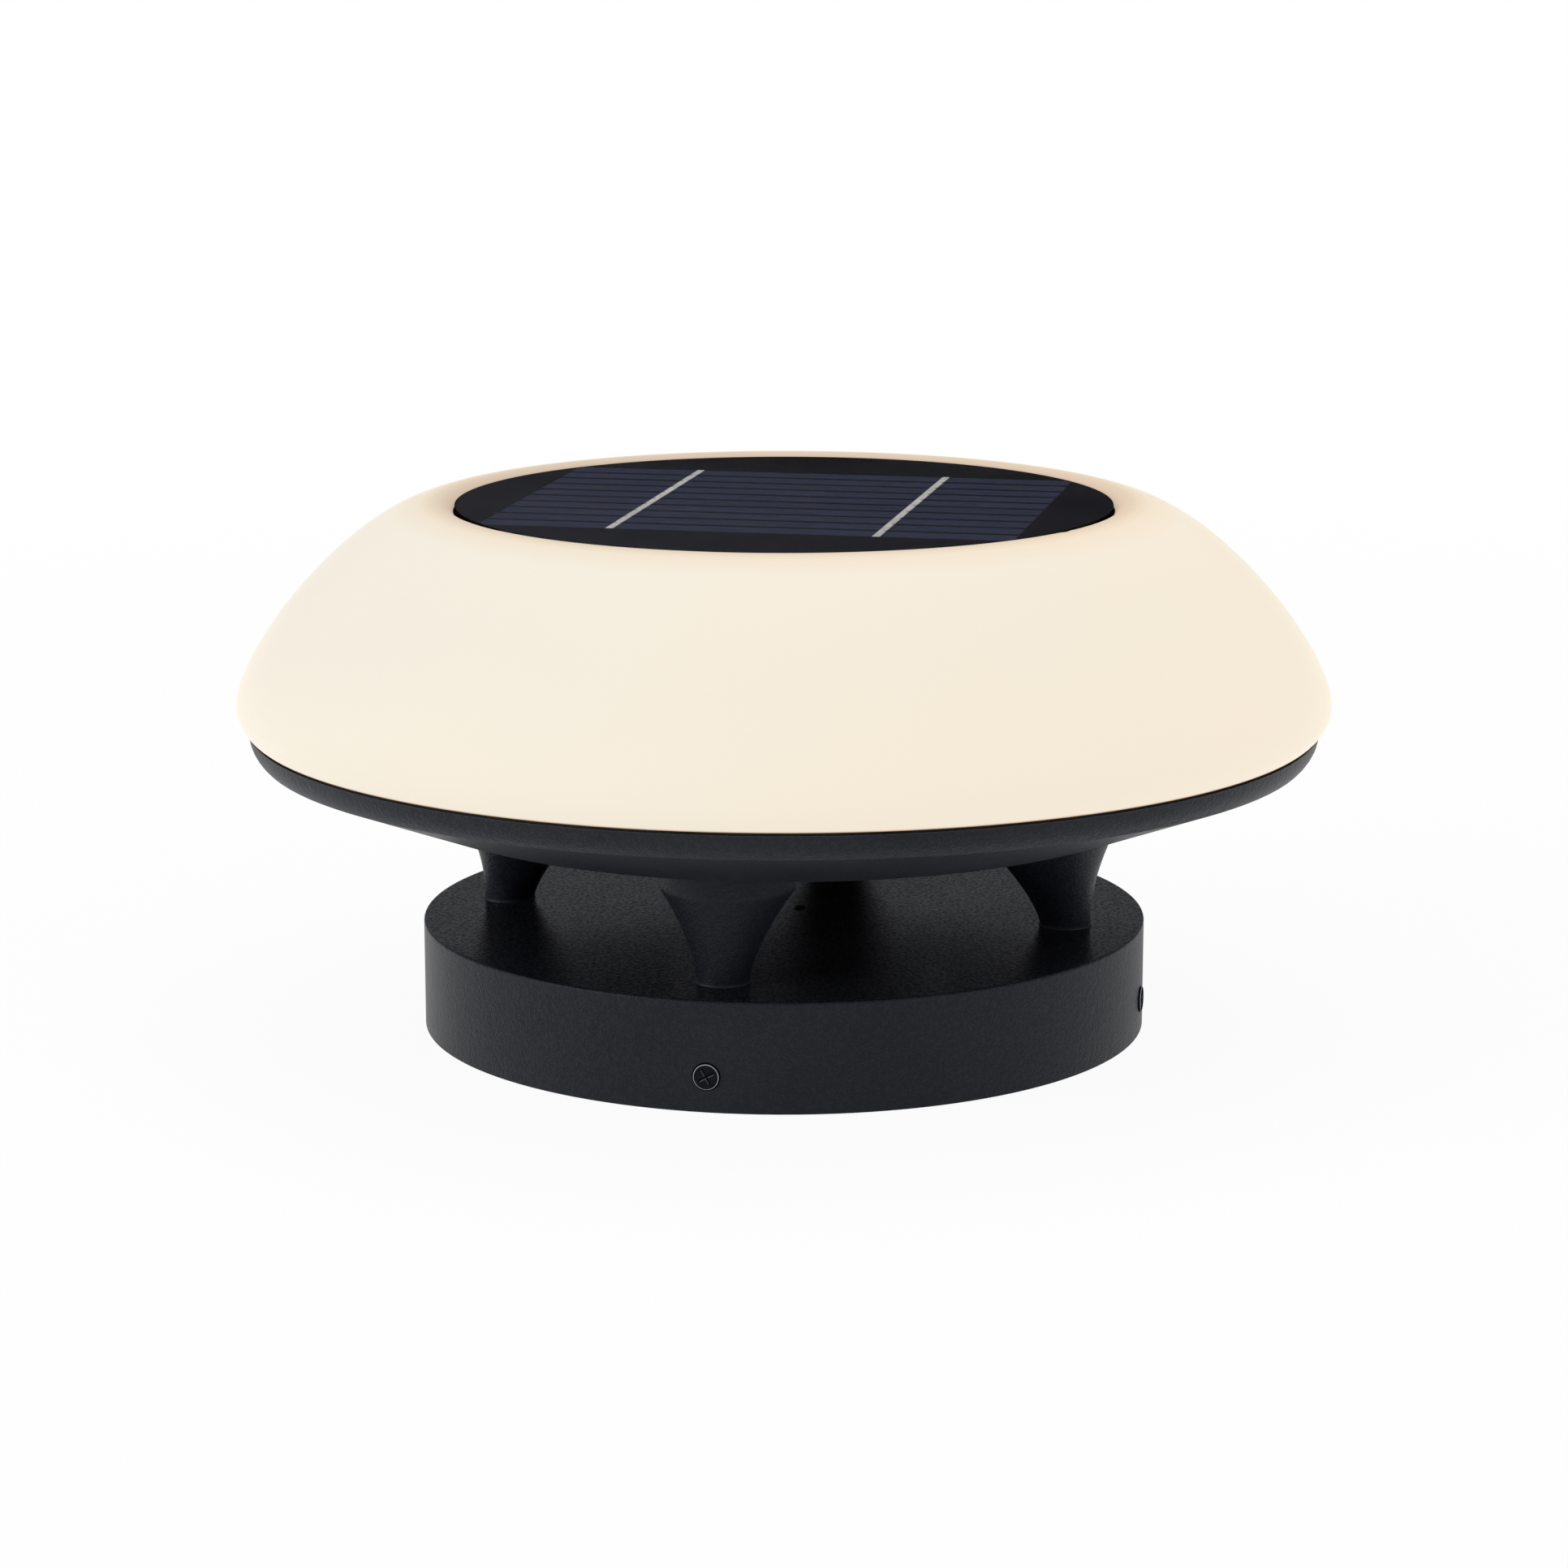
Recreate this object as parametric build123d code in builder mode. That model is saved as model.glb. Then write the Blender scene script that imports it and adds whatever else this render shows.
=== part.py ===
# Solar pedestal light: a mushroom-shaped lamp on four flared legs, standing on a round base.
# Millimetres, +Z up, origin on the ground at the centre of the base, front leg towards -Y.
import os
from math import cos, hypot, radians, sin, tan

from build123d import *

os.makedirs("parts", exist_ok=True)

# Directions of the legs and of the set screws, in degrees from +X
sides = {"front": -90, "right": 0, "back": 90, "left": 180}
diagonal = 45
pillar_count = 4

# Base cover
base_radius = 73.0
base_height = 21.7
base_wall = 3.0
base_top = 3.0
base_edge_radius = 0.5
drain_circle = 4.0
drain_count = 2
drain_length = 5.0
drain_width = 2.2

# Set screws, their bosses and the mounting plate that they clamp
boss_radius = 5.5
boss_depth = 4.0
set_screw_radius = 2.5
set_screw_height = 7.0
set_screw_stand = 0.2
set_screw_mouth = 0.3
set_screw_turn = 29.0
set_screw_chamfer = 0.3
set_screw_cross_length = 3.7
set_screw_cross_width = 0.9
set_screw_cross_depth = 1.2
plate_gap = 1.1
plate_thickness = 2.0
plate_rim_height = 12.0
plate_rim_wall = 2.0
plate_bend_radius = 2.5
plate_web = 39.9
fixing_inset = 19.9
fixing_count = 4
fixing_hole_radius = 2.6

# Legs
leg_height = 23.3
leg_foot_inset = 15.3
leg_foot_radius = 5.05
leg_head_radius = 13.3
leg_head_height = 5.5
leg_lean = 4.4
leg_flare_power = 1.56
leg_lean_power = 1.2
leg_shoulder_radius = 2.0
leg_bead = 0.35
leg_bead_slope = 20.0
leg_stations = 6

# Tray
tray_inset = 2.35
tray_floor = 2.5
tray_wall = 2.5
tray_rim_wall = 3.0
tray_flat_margin = 3.9
tray_blend_radius = 22.5
tray_cone_angle = 20.95
tray_lip_width = 2.2
tray_rim_height = 4.95

# Shade and its gasket
shade_radius = 109.5
shade_height = 44.18
shade_wall = 2.5
shade_belly_height = 4.6
shade_foot_inset = 2.4
shade_crown_reach = 16.7
shade_side_reach = 9.6
shade_lip_width = 3.2
shade_lip_drop = 2.0
shade_skirt_gap = 0.7
shade_skirt_wall = 2.0
shade_ledge = 2.0
shade_seat = 3.0
shade_gasket_thickness = 0.5
shade_gasket_inset = 0.7

# Solar panel
panel_radius = 65.6
panel_sink = 0.35
panel_thickness = 2.6
panel_film_thickness = 0.3
panel_adhesive_thickness = 0.5
panel_gasket_thickness = 1.0
cell_count = 10
cell_pitch = 8.23
cell_gap = 0.9
cell_length = 104.8
cell_thickness = 0.25
cell_edge_margin = 0.5
ribbon_spacing = 52.0
ribbon_width = 1.45
ribbon_gap = 0.3
ribbon_thickness = 0.1
ribbon_notch_depth = 0.5
ribbon_notch_length = 0.7

# Panel carrier: a flanged cup with four pillars
flange_thickness = 2.2
flange_inset = 1.0
cup_inset = 5.6
cup_wall = 2.0
cup_floor = 2.0
cup_margin = 2.2
pillar_radius = 4.5
pillar_margin = 1.8

# Control board, battery and grommet inside the cup
board_width = 56.0
board_depth = 30.0
board_thickness = 1.6
board_front = 0.0
board_standoff = 3.0
board_boss_radius = 2.5
board_hole_inset = 3.0
terminal_side = 5.0
terminal_height = 4.0
terminal_inset = 4.0
terminal_place = 12.0
header_side = 7.0
header_height = 6.0
panel_plug_width = 7.0
panel_plug_depth = 4.5
panel_plug_place = 16.0
chip_side = 6.0
chip_height = 1.6
coil_radius = 4.0
coil_height = 5.0
capacitor_radius = 2.5
capacitor_height = 7.0
battery_radius = 9.2
battery_length = 65.0
battery_place = 18.0
battery_headroom = 2.0
holder_wall = 1.6
holder_floor = 1.4
contact_thickness = 0.8
contact_width = 9.0
contact_tab = 0.5
grommet_radius = 5.0
grommet_flange = 1.2
grommet_lip = 1.0

# LED board, reflector and push switch in the tray
led_gap = 0.9
led_board_inner = 22.0
led_board_inset = 3.3
led_board_thickness = 1.6
led_boss_place = 30.0
led_boss_radius = 3.5
led_count = 24
led_inset = 4.0
led_length = 3.5
led_width = 2.8
led_height = 0.8
reflector_thickness = 0.8
reflector_margin = 1.0
reflector_gap = 1.5
switch_angle = 45
switch_gap = 0.5
switch_radius = 6.0
switch_flange_radius = 7.5
switch_flange = 1.5
switch_seal_thickness = 0.8
switch_height = 12.0
switch_nut_width = 15.0
switch_nut_height = 3.0
switch_pin_spacing = 3.6
switch_pin_width = 1.8
switch_pin_height = 3.0
button_radius = 4.0
button_stand = 2.0
button_travel = 1.5
button_length = 8.0
button_edge_radius = 0.8

# Leads
lead_radius = 0.7
lead_pitch = 3.0
lead_bend = 2.5
lead_margin = 3.0
lead_drop = 4.0
lead_step = 3.0
panel_lead_shift = 8.0
panel_lead_climb = 1.0
battery_lead_turn = 12.0

# Screws
leg_screw_radius = 1.95
leg_screw_head_radius = 4.0
leg_screw_head_height = 2.6
leg_screw_grip = 9.0
carrier_screw_radius = 1.25
carrier_screw_head_radius = 2.8
carrier_screw_length = 12.0
carrier_screw_cross_depth = 1.0
led_screw_radius = 1.25
led_screw_head_radius = 2.8
led_screw_head_height = 2.0
led_screw_grip = 3.0
board_screw_radius = 1.0
board_screw_head_radius = 2.1
board_screw_head_height = 1.5
board_screw_grip = 2.6
cross_width = 0.9

# Clearances
thread_clearance = 0.05
tip_clearance = 0.1
hole_clearance = 0.3
panel_clearance = 0.2
skirt_clearance = 0.3
cup_clearance = 0.6
holder_clearance = 0.2
reflector_clearance = 0.2
button_clearance = 0.08
button_headroom = 0.5

# Heights and radii, from the ground up
tray_bottom = base_height + leg_height
tray_inside = tray_bottom + tray_floor
cone_angle = radians(tray_cone_angle)
plate_radius = base_radius - base_wall - boss_depth - plate_gap
leg_foot_circle = base_radius - leg_foot_inset
leg_head_circle = leg_foot_circle - leg_lean
tray_flat_radius = leg_head_circle + leg_head_radius + tray_flat_margin
cone_start_radius = tray_flat_radius + tray_blend_radius * sin(cone_angle)
cone_start_height = tray_bottom + tray_blend_radius * (1 - cos(cone_angle))
tray_radius = shade_radius - tray_inset
crease_radius = tray_radius - tray_lip_width
crease_height = cone_start_height + (crease_radius - cone_start_radius) * tan(cone_angle)
tray_rim = crease_height + tray_rim_height
tray_bore = tray_radius - tray_rim_wall
shade_foot = tray_rim + shade_gasket_thickness
shade_belly = shade_foot + shade_belly_height
shade_crest = shade_foot + shade_height
pocket_radius = panel_radius + panel_clearance
crest_radius = pocket_radius + shade_lip_width
panel_face = shade_crest - panel_sink
board_face = panel_face - panel_film_thickness
panel_back = board_face - panel_thickness
flange_face = panel_back - panel_adhesive_thickness
flange_back = flange_face - flange_thickness
seat_face = flange_back - panel_gasket_thickness
flange_radius = panel_radius - flange_inset
cup_radius = panel_radius - cup_inset
seat_opening = cup_radius + cup_clearance
trough_radius = battery_radius + holder_clearance
trough_length = battery_length + 2 * (contact_thickness + holder_clearance)
holder_length = trough_length + 2 * holder_wall
holder_depth = 2 * (trough_radius + holder_wall)
cup_floor_radius = hypot(holder_length / 2, battery_place + holder_depth / 2) + cup_margin + cup_wall
battery_height = flange_face - battery_headroom - battery_radius
cup_inside = battery_height - trough_radius - holder_floor
cup_bottom = cup_inside - cup_floor
led_standoff = leg_screw_head_height + led_gap
led_back = tray_inside + led_standoff
led_face = led_back + led_board_thickness
led_board_outer = leg_head_circle - led_board_inset
led_circle = led_board_outer - led_inset
pillar_circle = led_circle - led_width / 2 - pillar_margin - hole_clearance - pillar_radius
switch_circle = led_board_outer + switch_gap + switch_nut_width / 2
grommet_place = led_boss_place + led_screw_head_radius + lead_margin + lead_radius + lead_pitch / 2


def inner_cone(radius, lift=0.0):
    # Height of the cone inside the tray at a radius, raised square to the surface by lift
    rise = (radius - cone_start_radius) * tan(cone_angle)
    return cone_start_height + rise + (tray_wall + lift) / cos(cone_angle)


def at(radius, angle, height=0.0):
    return (radius * cos(radians(angle)), radius * sin(radians(angle)), height)


def facing_out(angle, height):
    # Plane through the axis at a height, facing outwards in that direction, its own Y upwards
    return Plane(at(0, angle, height), x_dir=at(1, angle + 90), z_dir=at(1, angle))


def save(piece, name):
    piece.part.label = name
    export_step(piece.part, f"parts/{name}.step")


def pan_screw(shank_radius, head_radius, head_height, grip):
    # Pan-head screw: its head stands on z = 0 and its shank reaches down by grip
    with BuildPart() as screw:
        with BuildSketch():
            Circle(head_radius)
        extrude(amount=head_height)
        fillet(screw.edges().sort_by(Axis.Z)[-1], head_height / 3)
        with BuildSketch():
            Circle(shank_radius)
        extrude(amount=-grip)
        with BuildSketch(Plane.XY.offset(head_height)):
            Rectangle(head_radius, cross_width)
            Rectangle(cross_width, head_radius)
        extrude(amount=-head_height / 2, mode=Mode.SUBTRACT)
    return screw.part


def sunk_screw(shank_radius, head_radius, length, cross_depth):
    # Countersunk screw: the flat of its head lies on z = 0 and it points up
    with BuildPart() as screw:
        with BuildSketch():
            Circle(shank_radius)
        extrude(amount=length)
        with BuildSketch():
            Circle(head_radius)
        extrude(amount=head_radius - shank_radius, taper=45)
        with BuildSketch():
            Rectangle(head_radius, cross_width)
            Rectangle(cross_width, head_radius)
        extrude(amount=cross_depth, mode=Mode.SUBTRACT)
    return screw.part


# Mounting plate: a steel dish that is fastened down first and sits inside the base cover
with BuildPart() as mounting_plate:
    Cylinder(plate_radius, plate_rim_height, align=(Align.CENTER, Align.CENTER, Align.MIN))
    fillet(mounting_plate.edges().sort_by(Axis.Z)[0], plate_bend_radius)
    with BuildSketch(Plane.XY.offset(plate_thickness)):
        Circle(plate_radius - plate_rim_wall)
    extrude(amount=plate_rim_height, mode=Mode.SUBTRACT)
    with BuildSketch():
        Circle(plate_radius - plate_web)
        with PolarLocations(plate_radius - fixing_inset, fixing_count, start_angle=diagonal):
            Circle(fixing_hole_radius)
    extrude(amount=plate_thickness, mode=Mode.SUBTRACT)
save(mounting_plate, "mounting_plate")

# Base cover: a round cup, open below, with a threaded boss behind each set screw
boss_tip = base_radius - base_wall - boss_depth
with BuildPart() as base_cover:
    Cylinder(base_radius, base_height, align=(Align.CENTER, Align.CENTER, Align.MIN))
    fillet(base_cover.edges().sort_by(Axis.Z)[-1], base_edge_radius)
    with BuildSketch():
        Circle(base_radius - base_wall)
    extrude(amount=base_height - base_top, mode=Mode.SUBTRACT)
    for angle in sides.values():
        face = facing_out(angle, set_screw_height)
        with BuildSketch(face.offset(boss_tip)):
            Circle(boss_radius)
        extrude(amount=boss_depth + base_wall / 2)
        with BuildSketch(face.offset(boss_tip)):
            Circle(set_screw_radius + thread_clearance)
        extrude(amount=boss_depth + base_wall, mode=Mode.SUBTRACT)
        with BuildSketch(face.offset(base_radius)):
            Circle(set_screw_radius + thread_clearance + set_screw_mouth)
        extrude(amount=-set_screw_mouth, taper=45, mode=Mode.SUBTRACT)
    with BuildSketch(Plane.XY.offset(base_height)):
        with PolarLocations(leg_foot_circle, len(sides)):
            Circle(leg_screw_radius + hole_clearance)
        with PolarLocations(drain_circle, drain_count, start_angle=diagonal, rotate=False):
            SlotOverall(drain_length, drain_width, rotation=90)
    extrude(amount=-base_top, mode=Mode.SUBTRACT)
save(base_cover, "base_cover")

# Set screws: headless, with a cross recess and a cut-back point, just clear of the plate's rim
set_screw_length = base_radius + set_screw_stand - plate_radius - tip_clearance
for side, angle in sides.items():
    outside = facing_out(angle, set_screw_height).offset(base_radius + set_screw_stand)
    with BuildPart() as set_screw:
        with BuildSketch(outside):
            Circle(set_screw_radius)
        extrude(amount=-set_screw_length)
        chamfer(set_screw.edges().filter_by(GeomType.CIRCLE), set_screw_chamfer)
        with BuildSketch(outside):
            Rectangle(set_screw_cross_length, set_screw_cross_width, rotation=set_screw_turn)
            Rectangle(set_screw_cross_width, set_screw_cross_length, rotation=set_screw_turn)
        extrude(amount=-set_screw_cross_depth, mode=Mode.SUBTRACT)
    save(set_screw, f"set_screw_{side}")

# Legs: a trumpet that leans inwards as it widens, with a thin bead at its foot and a straight head
flare_height = leg_height - leg_head_height
flare_top = base_height + flare_height
leg_hole = leg_screw_radius + thread_clearance
for side, angle in sides.items():
    with BuildPart() as leg:
        for station in range(leg_stations + 1):
            part_way = station / leg_stations
            width = leg_foot_radius + (leg_head_radius - leg_foot_radius) * part_way**leg_flare_power
            reach = leg_foot_circle - leg_lean * part_way**leg_lean_power
            with BuildSketch(Plane(at(reach, angle, base_height + flare_height * part_way))):
                Circle(width)
        loft()
        with BuildSketch(Plane(at(leg_head_circle, angle, tray_bottom))):
            Circle(leg_head_radius)
        extrude(amount=-leg_head_height)
        shoulder = leg.edges().sort_by(lambda edge: abs(edge.center().Z - flare_top))[0]
        fillet(shoulder, leg_shoulder_radius)
        with BuildSketch(Plane(at(leg_foot_circle, angle, base_height))):
            Circle(leg_foot_radius + leg_bead)
        extrude(amount=leg_bead, taper=leg_bead_slope)
        with BuildSketch(Plane(at(leg_foot_circle, angle, base_height))):
            Circle(leg_hole)
        extrude(amount=leg_screw_grip + hole_clearance, mode=Mode.SUBTRACT)
        with BuildSketch(Plane(at(leg_head_circle, angle, tray_bottom))):
            Circle(leg_hole)
        extrude(amount=-leg_screw_grip - hole_clearance, mode=Mode.SUBTRACT)
    save(leg, f"leg_{side}")

# Screws that hold the legs, from inside the base cover and from inside the tray
leg_screw_head = (leg_screw_head_radius, leg_screw_head_height)
foot_screw = pan_screw(leg_screw_radius, *leg_screw_head, base_top + leg_screw_grip)
with BuildPart(Plane.XY.offset(base_height - base_top)) as leg_foot_screws:
    with PolarLocations(leg_foot_circle, len(sides)):
        add(foot_screw, rotation=(180, 0, 0))
save(leg_foot_screws, "leg_foot_screws")

head_screw = pan_screw(leg_screw_radius, *leg_screw_head, tray_floor + leg_screw_grip)
with BuildPart(Plane.XY.offset(tray_inside)) as leg_head_screws:
    with PolarLocations(leg_head_circle, len(sides)):
        add(head_screw)
save(leg_head_screws, "leg_head_screws")

# Tray: flat floor, cone and rounded lip in one casting, with bosses for the LED board
switch_spot = at(switch_circle, switch_angle)
inner_start = tray_flat_radius + (tray_blend_radius - tray_wall) * sin(cone_angle)
inner_flat_height = inner_cone(inner_start)
cone_start = (cone_start_radius, cone_start_height)
crease = (crease_radius, crease_height)
with BuildPart() as tray:
    with BuildSketch(Plane.XZ):
        with BuildLine():
            Line((0, tray_bottom), (tray_flat_radius, tray_bottom))
            TangentArc((tray_flat_radius, tray_bottom), cone_start, tangent=(1, 0))
            Line(cone_start, crease)
            TangentArc((tray_radius, tray_rim), crease, tangent=(0, -1))
            Polyline(
                (tray_radius, tray_rim),
                (tray_bore, tray_rim),
                (tray_bore, inner_cone(tray_bore)),
                (inner_start, inner_flat_height),
            )
            TangentArc((tray_flat_radius, tray_inside), (inner_start, inner_flat_height), tangent=(1, 0))
            Polyline((tray_flat_radius, tray_inside), (0, tray_inside), (0, tray_bottom))
        make_face()
    revolve(axis=Axis.Z)
    with BuildSketch(Plane.XY.offset(tray_inside)):
        with PolarLocations(led_boss_place, len(sides)):
            Circle(led_boss_radius)
    extrude(amount=led_standoff)
    with BuildSketch(Plane.XY.offset(led_back)):
        with PolarLocations(led_boss_place, len(sides)):
            Circle(led_screw_radius + thread_clearance)
    extrude(amount=-led_standoff, mode=Mode.SUBTRACT)
    with BuildSketch(Plane.XY.offset(tray_bottom)):
        with PolarLocations(leg_head_circle, len(sides)):
            Circle(leg_screw_radius + hole_clearance)
        with PolarLocations(pillar_circle, pillar_count, start_angle=diagonal):
            Circle(carrier_screw_radius + hole_clearance)
        with Locations(switch_spot):
            Circle(switch_radius + thread_clearance)
    extrude(amount=tray_floor, mode=Mode.SUBTRACT)
    with BuildSketch(Plane.XY.offset(tray_bottom)):
        with PolarLocations(pillar_circle, pillar_count, start_angle=diagonal):
            Circle(carrier_screw_head_radius + hole_clearance)
    extrude(amount=carrier_screw_head_radius - carrier_screw_radius, taper=45, mode=Mode.SUBTRACT)
save(tray, "tray")

# Gasket between the tray's rim and the shade
with BuildPart() as shade_gasket:
    with BuildSketch(Plane.XY.offset(tray_rim)):
        Circle(tray_radius - shade_gasket_inset)
        Circle(tray_bore + skirt_clearance, mode=Mode.SUBTRACT)
    extrude(amount=shade_gasket_thickness)
save(shade_gasket, "shade_gasket")

# Shade: a domed opal shell with a skirt inside the tray and a stepped seat for the panel
skirt_radius = tray_bore - skirt_clearance
skirt_inside = skirt_radius - shade_skirt_wall
skirt_bottom = inner_cone(tray_bore) + shade_skirt_gap
seat_back = seat_face - shade_seat
inner_belly_radius = shade_radius - shade_wall
inner_crest = shade_crest - shade_wall
# The inner curve is drawn in a little less, which keeps the wall even along the flank
inner_draw = 0.6 * shade_wall
with BuildPart() as shade:
    with BuildSketch(Plane.XZ):
        with BuildLine():
            Polyline(
                (pocket_radius + shade_wall, inner_crest),
                (pocket_radius + shade_wall, seat_back),
                (seat_opening, seat_back),
                (seat_opening, seat_face),
                (pocket_radius, seat_face),
                (pocket_radius, shade_crest - shade_lip_drop),
            )
            TangentArc(
                (crest_radius, shade_crest),
                (pocket_radius, shade_crest - shade_lip_drop),
                tangent=(-1, 0),
            )
            Bezier(
                (crest_radius, shade_crest),
                (crest_radius + shade_crown_reach, shade_crest),
                (shade_radius, shade_belly + shade_side_reach),
                (shade_radius, shade_belly),
            )
            TangentArc(
                (shade_radius, shade_belly),
                (shade_radius - shade_foot_inset, shade_foot),
                tangent=(0, -1),
            )
            Polyline(
                (shade_radius - shade_foot_inset, shade_foot),
                (skirt_radius, shade_foot),
                (skirt_radius, skirt_bottom),
                (skirt_inside, skirt_bottom),
                (skirt_inside, shade_foot + shade_ledge),
                (inner_belly_radius, shade_foot + shade_ledge),
                (inner_belly_radius, shade_belly),
            )
            Bezier(
                (inner_belly_radius, shade_belly),
                (inner_belly_radius, shade_belly + shade_side_reach - inner_draw),
                (crest_radius + shade_crown_reach - inner_draw, inner_crest),
                (crest_radius, inner_crest),
            )
            Line((crest_radius, inner_crest), (pocket_radius + shade_wall, inner_crest))
        make_face()
    revolve(axis=Axis.Z)
save(shade, "shade")

# Gasket between the shade's seat and the flange of the carrier
with BuildPart() as panel_gasket:
    with BuildSketch(Plane.XY.offset(seat_face)):
        Circle(flange_radius)
        Circle(seat_opening, mode=Mode.SUBTRACT)
    extrude(amount=panel_gasket_thickness)
save(panel_gasket, "panel_gasket")

# Panel carrier: flanged cup for the electronics, standing on the tray with four hollow pillars
board_hole_x = board_width - 2 * board_hole_inset
board_hole_y = board_depth - 2 * board_hole_inset
board_middle = board_front + board_depth / 2
board_seat = cup_inside + board_standoff
grommet_spot = (0, grommet_place)
with BuildPart() as panel_carrier:
    with BuildSketch(Plane.XZ):
        with BuildLine():
            Polyline(
                (0, cup_bottom),
                (cup_floor_radius, cup_bottom),
                (cup_radius, flange_back),
                (flange_radius, flange_back),
                (flange_radius, flange_face),
                (cup_radius - cup_wall, flange_face),
                (cup_floor_radius - cup_wall, cup_inside),
                (0, cup_inside),
                close=True,
            )
        make_face()
    revolve(axis=Axis.Z)
    with BuildSketch(Plane.XY.offset(tray_inside)):
        with PolarLocations(pillar_circle, pillar_count, start_angle=diagonal):
            Circle(pillar_radius)
    extrude(amount=cup_bottom - tray_inside)
    with BuildSketch(Plane.XY.offset(tray_inside)):
        with PolarLocations(pillar_circle, pillar_count, start_angle=diagonal):
            Circle(carrier_screw_radius + thread_clearance)
    extrude(amount=carrier_screw_length, mode=Mode.SUBTRACT)
    with BuildSketch(Plane.XY.offset(cup_inside)):
        with Locations((0, board_middle)):
            with GridLocations(board_hole_x, board_hole_y, 2, 2):
                Circle(board_boss_radius)
                Circle(board_screw_radius + thread_clearance, mode=Mode.SUBTRACT)
    extrude(amount=board_standoff)
    with BuildSketch(Plane.XY.offset(cup_bottom)):
        with Locations(grommet_spot):
            Circle(grommet_radius + thread_clearance)
    extrude(amount=cup_floor, mode=Mode.SUBTRACT)
save(panel_carrier, "panel_carrier")

# Screws from under the tray into the pillars, which clamp tray, shade and carrier together
carrier_screw = sunk_screw(
    carrier_screw_radius, carrier_screw_head_radius, carrier_screw_length, carrier_screw_cross_depth
)
with BuildPart(Plane.XY.offset(tray_bottom)) as carrier_screws:
    with PolarLocations(pillar_circle, pillar_count, start_angle=diagonal):
        add(carrier_screw)
save(carrier_screws, "carrier_screws")

# Adhesive ring between carrier and panel
with BuildPart() as panel_adhesive:
    with BuildSketch(Plane.XY.offset(flange_face)):
        Circle(flange_radius)
        Circle(cup_radius - cup_wall, mode=Mode.SUBTRACT)
    extrude(amount=panel_adhesive_thickness)
save(panel_adhesive, "panel_adhesive")

# Solar cells: strips across the panel, clipped by its edge, sunk into the board
cell_face = board_face - ribbon_thickness
with BuildSketch(Plane.XY.offset(cell_face)) as cell_outline:
    with GridLocations(0, cell_pitch, 1, cell_count):
        Rectangle(cell_length, cell_pitch - cell_gap)
    Circle(panel_radius - cell_edge_margin, mode=Mode.INTERSECT)
with BuildPart() as cell_strips:
    extrude(cell_outline.sketch, amount=-cell_thickness)
save(cell_strips, "cell_strips")

# Ribbons: two pale conductors across all the strips, notched on the outer side at each joint
ribbon_length = cell_count * cell_pitch - cell_gap - ribbon_gap
with BuildSketch(Plane.XY.offset(cell_face)) as ribbon_outline:
    with GridLocations(ribbon_spacing, 0, 2, 1):
        Rectangle(ribbon_width, ribbon_length)
    with GridLocations(ribbon_spacing + ribbon_width, cell_pitch, 2, cell_count - 1):
        Rectangle(2 * ribbon_notch_depth, ribbon_notch_length, mode=Mode.SUBTRACT)
with BuildPart() as cell_ribbons:
    extrude(ribbon_outline.sketch, amount=ribbon_thickness)
save(cell_ribbons, "cell_ribbons")

# Panel board: a black disc with a pocket for each strip and a channel where each ribbon crosses
with BuildPart() as panel_board:
    with BuildSketch(Plane.XY.offset(panel_back)):
        Circle(panel_radius)
    extrude(amount=panel_thickness)
    extrude(
        cell_outline.sketch.moved(Location((0, 0, ribbon_thickness))),
        amount=-ribbon_thickness - cell_thickness,
        mode=Mode.SUBTRACT,
    )
    extrude(ribbon_outline.sketch, amount=ribbon_thickness, mode=Mode.SUBTRACT)
save(panel_board, "panel_board")

# Clear film over the cells
with BuildPart() as panel_film:
    with BuildSketch(Plane.XY.offset(board_face)):
        Circle(panel_radius)
    extrude(amount=panel_film_thickness)
save(panel_film, "panel_film")

# Control board on its four bosses
board_top = board_seat + board_thickness
with BuildPart() as control_board:
    with BuildSketch(Plane.XY.offset(board_seat)):
        with Locations((0, board_middle)):
            Rectangle(board_width, board_depth)
            with GridLocations(board_hole_x, board_hole_y, 2, 2):
                Circle(board_screw_radius + hole_clearance, mode=Mode.SUBTRACT)
    extrude(amount=board_thickness)
save(control_board, "control_board")

board_screw = pan_screw(
    board_screw_radius, board_screw_head_radius, board_screw_head_height, board_thickness + board_screw_grip
)
with BuildPart(Plane.XY.offset(board_top)) as board_screws:
    with Locations((0, board_middle)):
        with GridLocations(board_hole_x, board_hole_y, 2, 2):
            add(board_screw)
save(board_screws, "board_screws")

# Components: two battery terminals, an output header, a panel plug, a chip, a coil and a capacitor
terminal_x = board_width / 2 - terminal_inset
terminal_y = board_front + terminal_place
header_spot = (0, board_front + board_depth - header_side)
plug_spot = (-panel_plug_place, board_middle)
with BuildPart() as board_components:
    with BuildSketch(Plane.XY.offset(board_top)):
        with Locations((0, terminal_y)):
            with GridLocations(2 * terminal_x, 0, 2, 1):
                Rectangle(terminal_side, terminal_side)
    extrude(amount=terminal_height)
    with BuildSketch(Plane.XY.offset(board_top)):
        with Locations(header_spot):
            Rectangle(header_side, header_side)
        with Locations(plug_spot):
            Rectangle(panel_plug_width, panel_plug_depth)
    extrude(amount=header_height)
    with BuildSketch(Plane.XY.offset(board_top)):
        with Locations((0, terminal_y)):
            Rectangle(chip_side, chip_side)
    extrude(amount=chip_height)
    with BuildSketch(Plane.XY.offset(board_top)):
        with Locations((panel_plug_place, board_middle)):
            Circle(coil_radius)
    extrude(amount=coil_height)
    with BuildSketch(Plane.XY.offset(board_top)):
        with Locations((panel_plug_place / 2, board_front + capacitor_radius * 2)):
            Circle(capacitor_radius)
    extrude(amount=capacitor_height)
save(board_components, "board_components")

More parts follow.
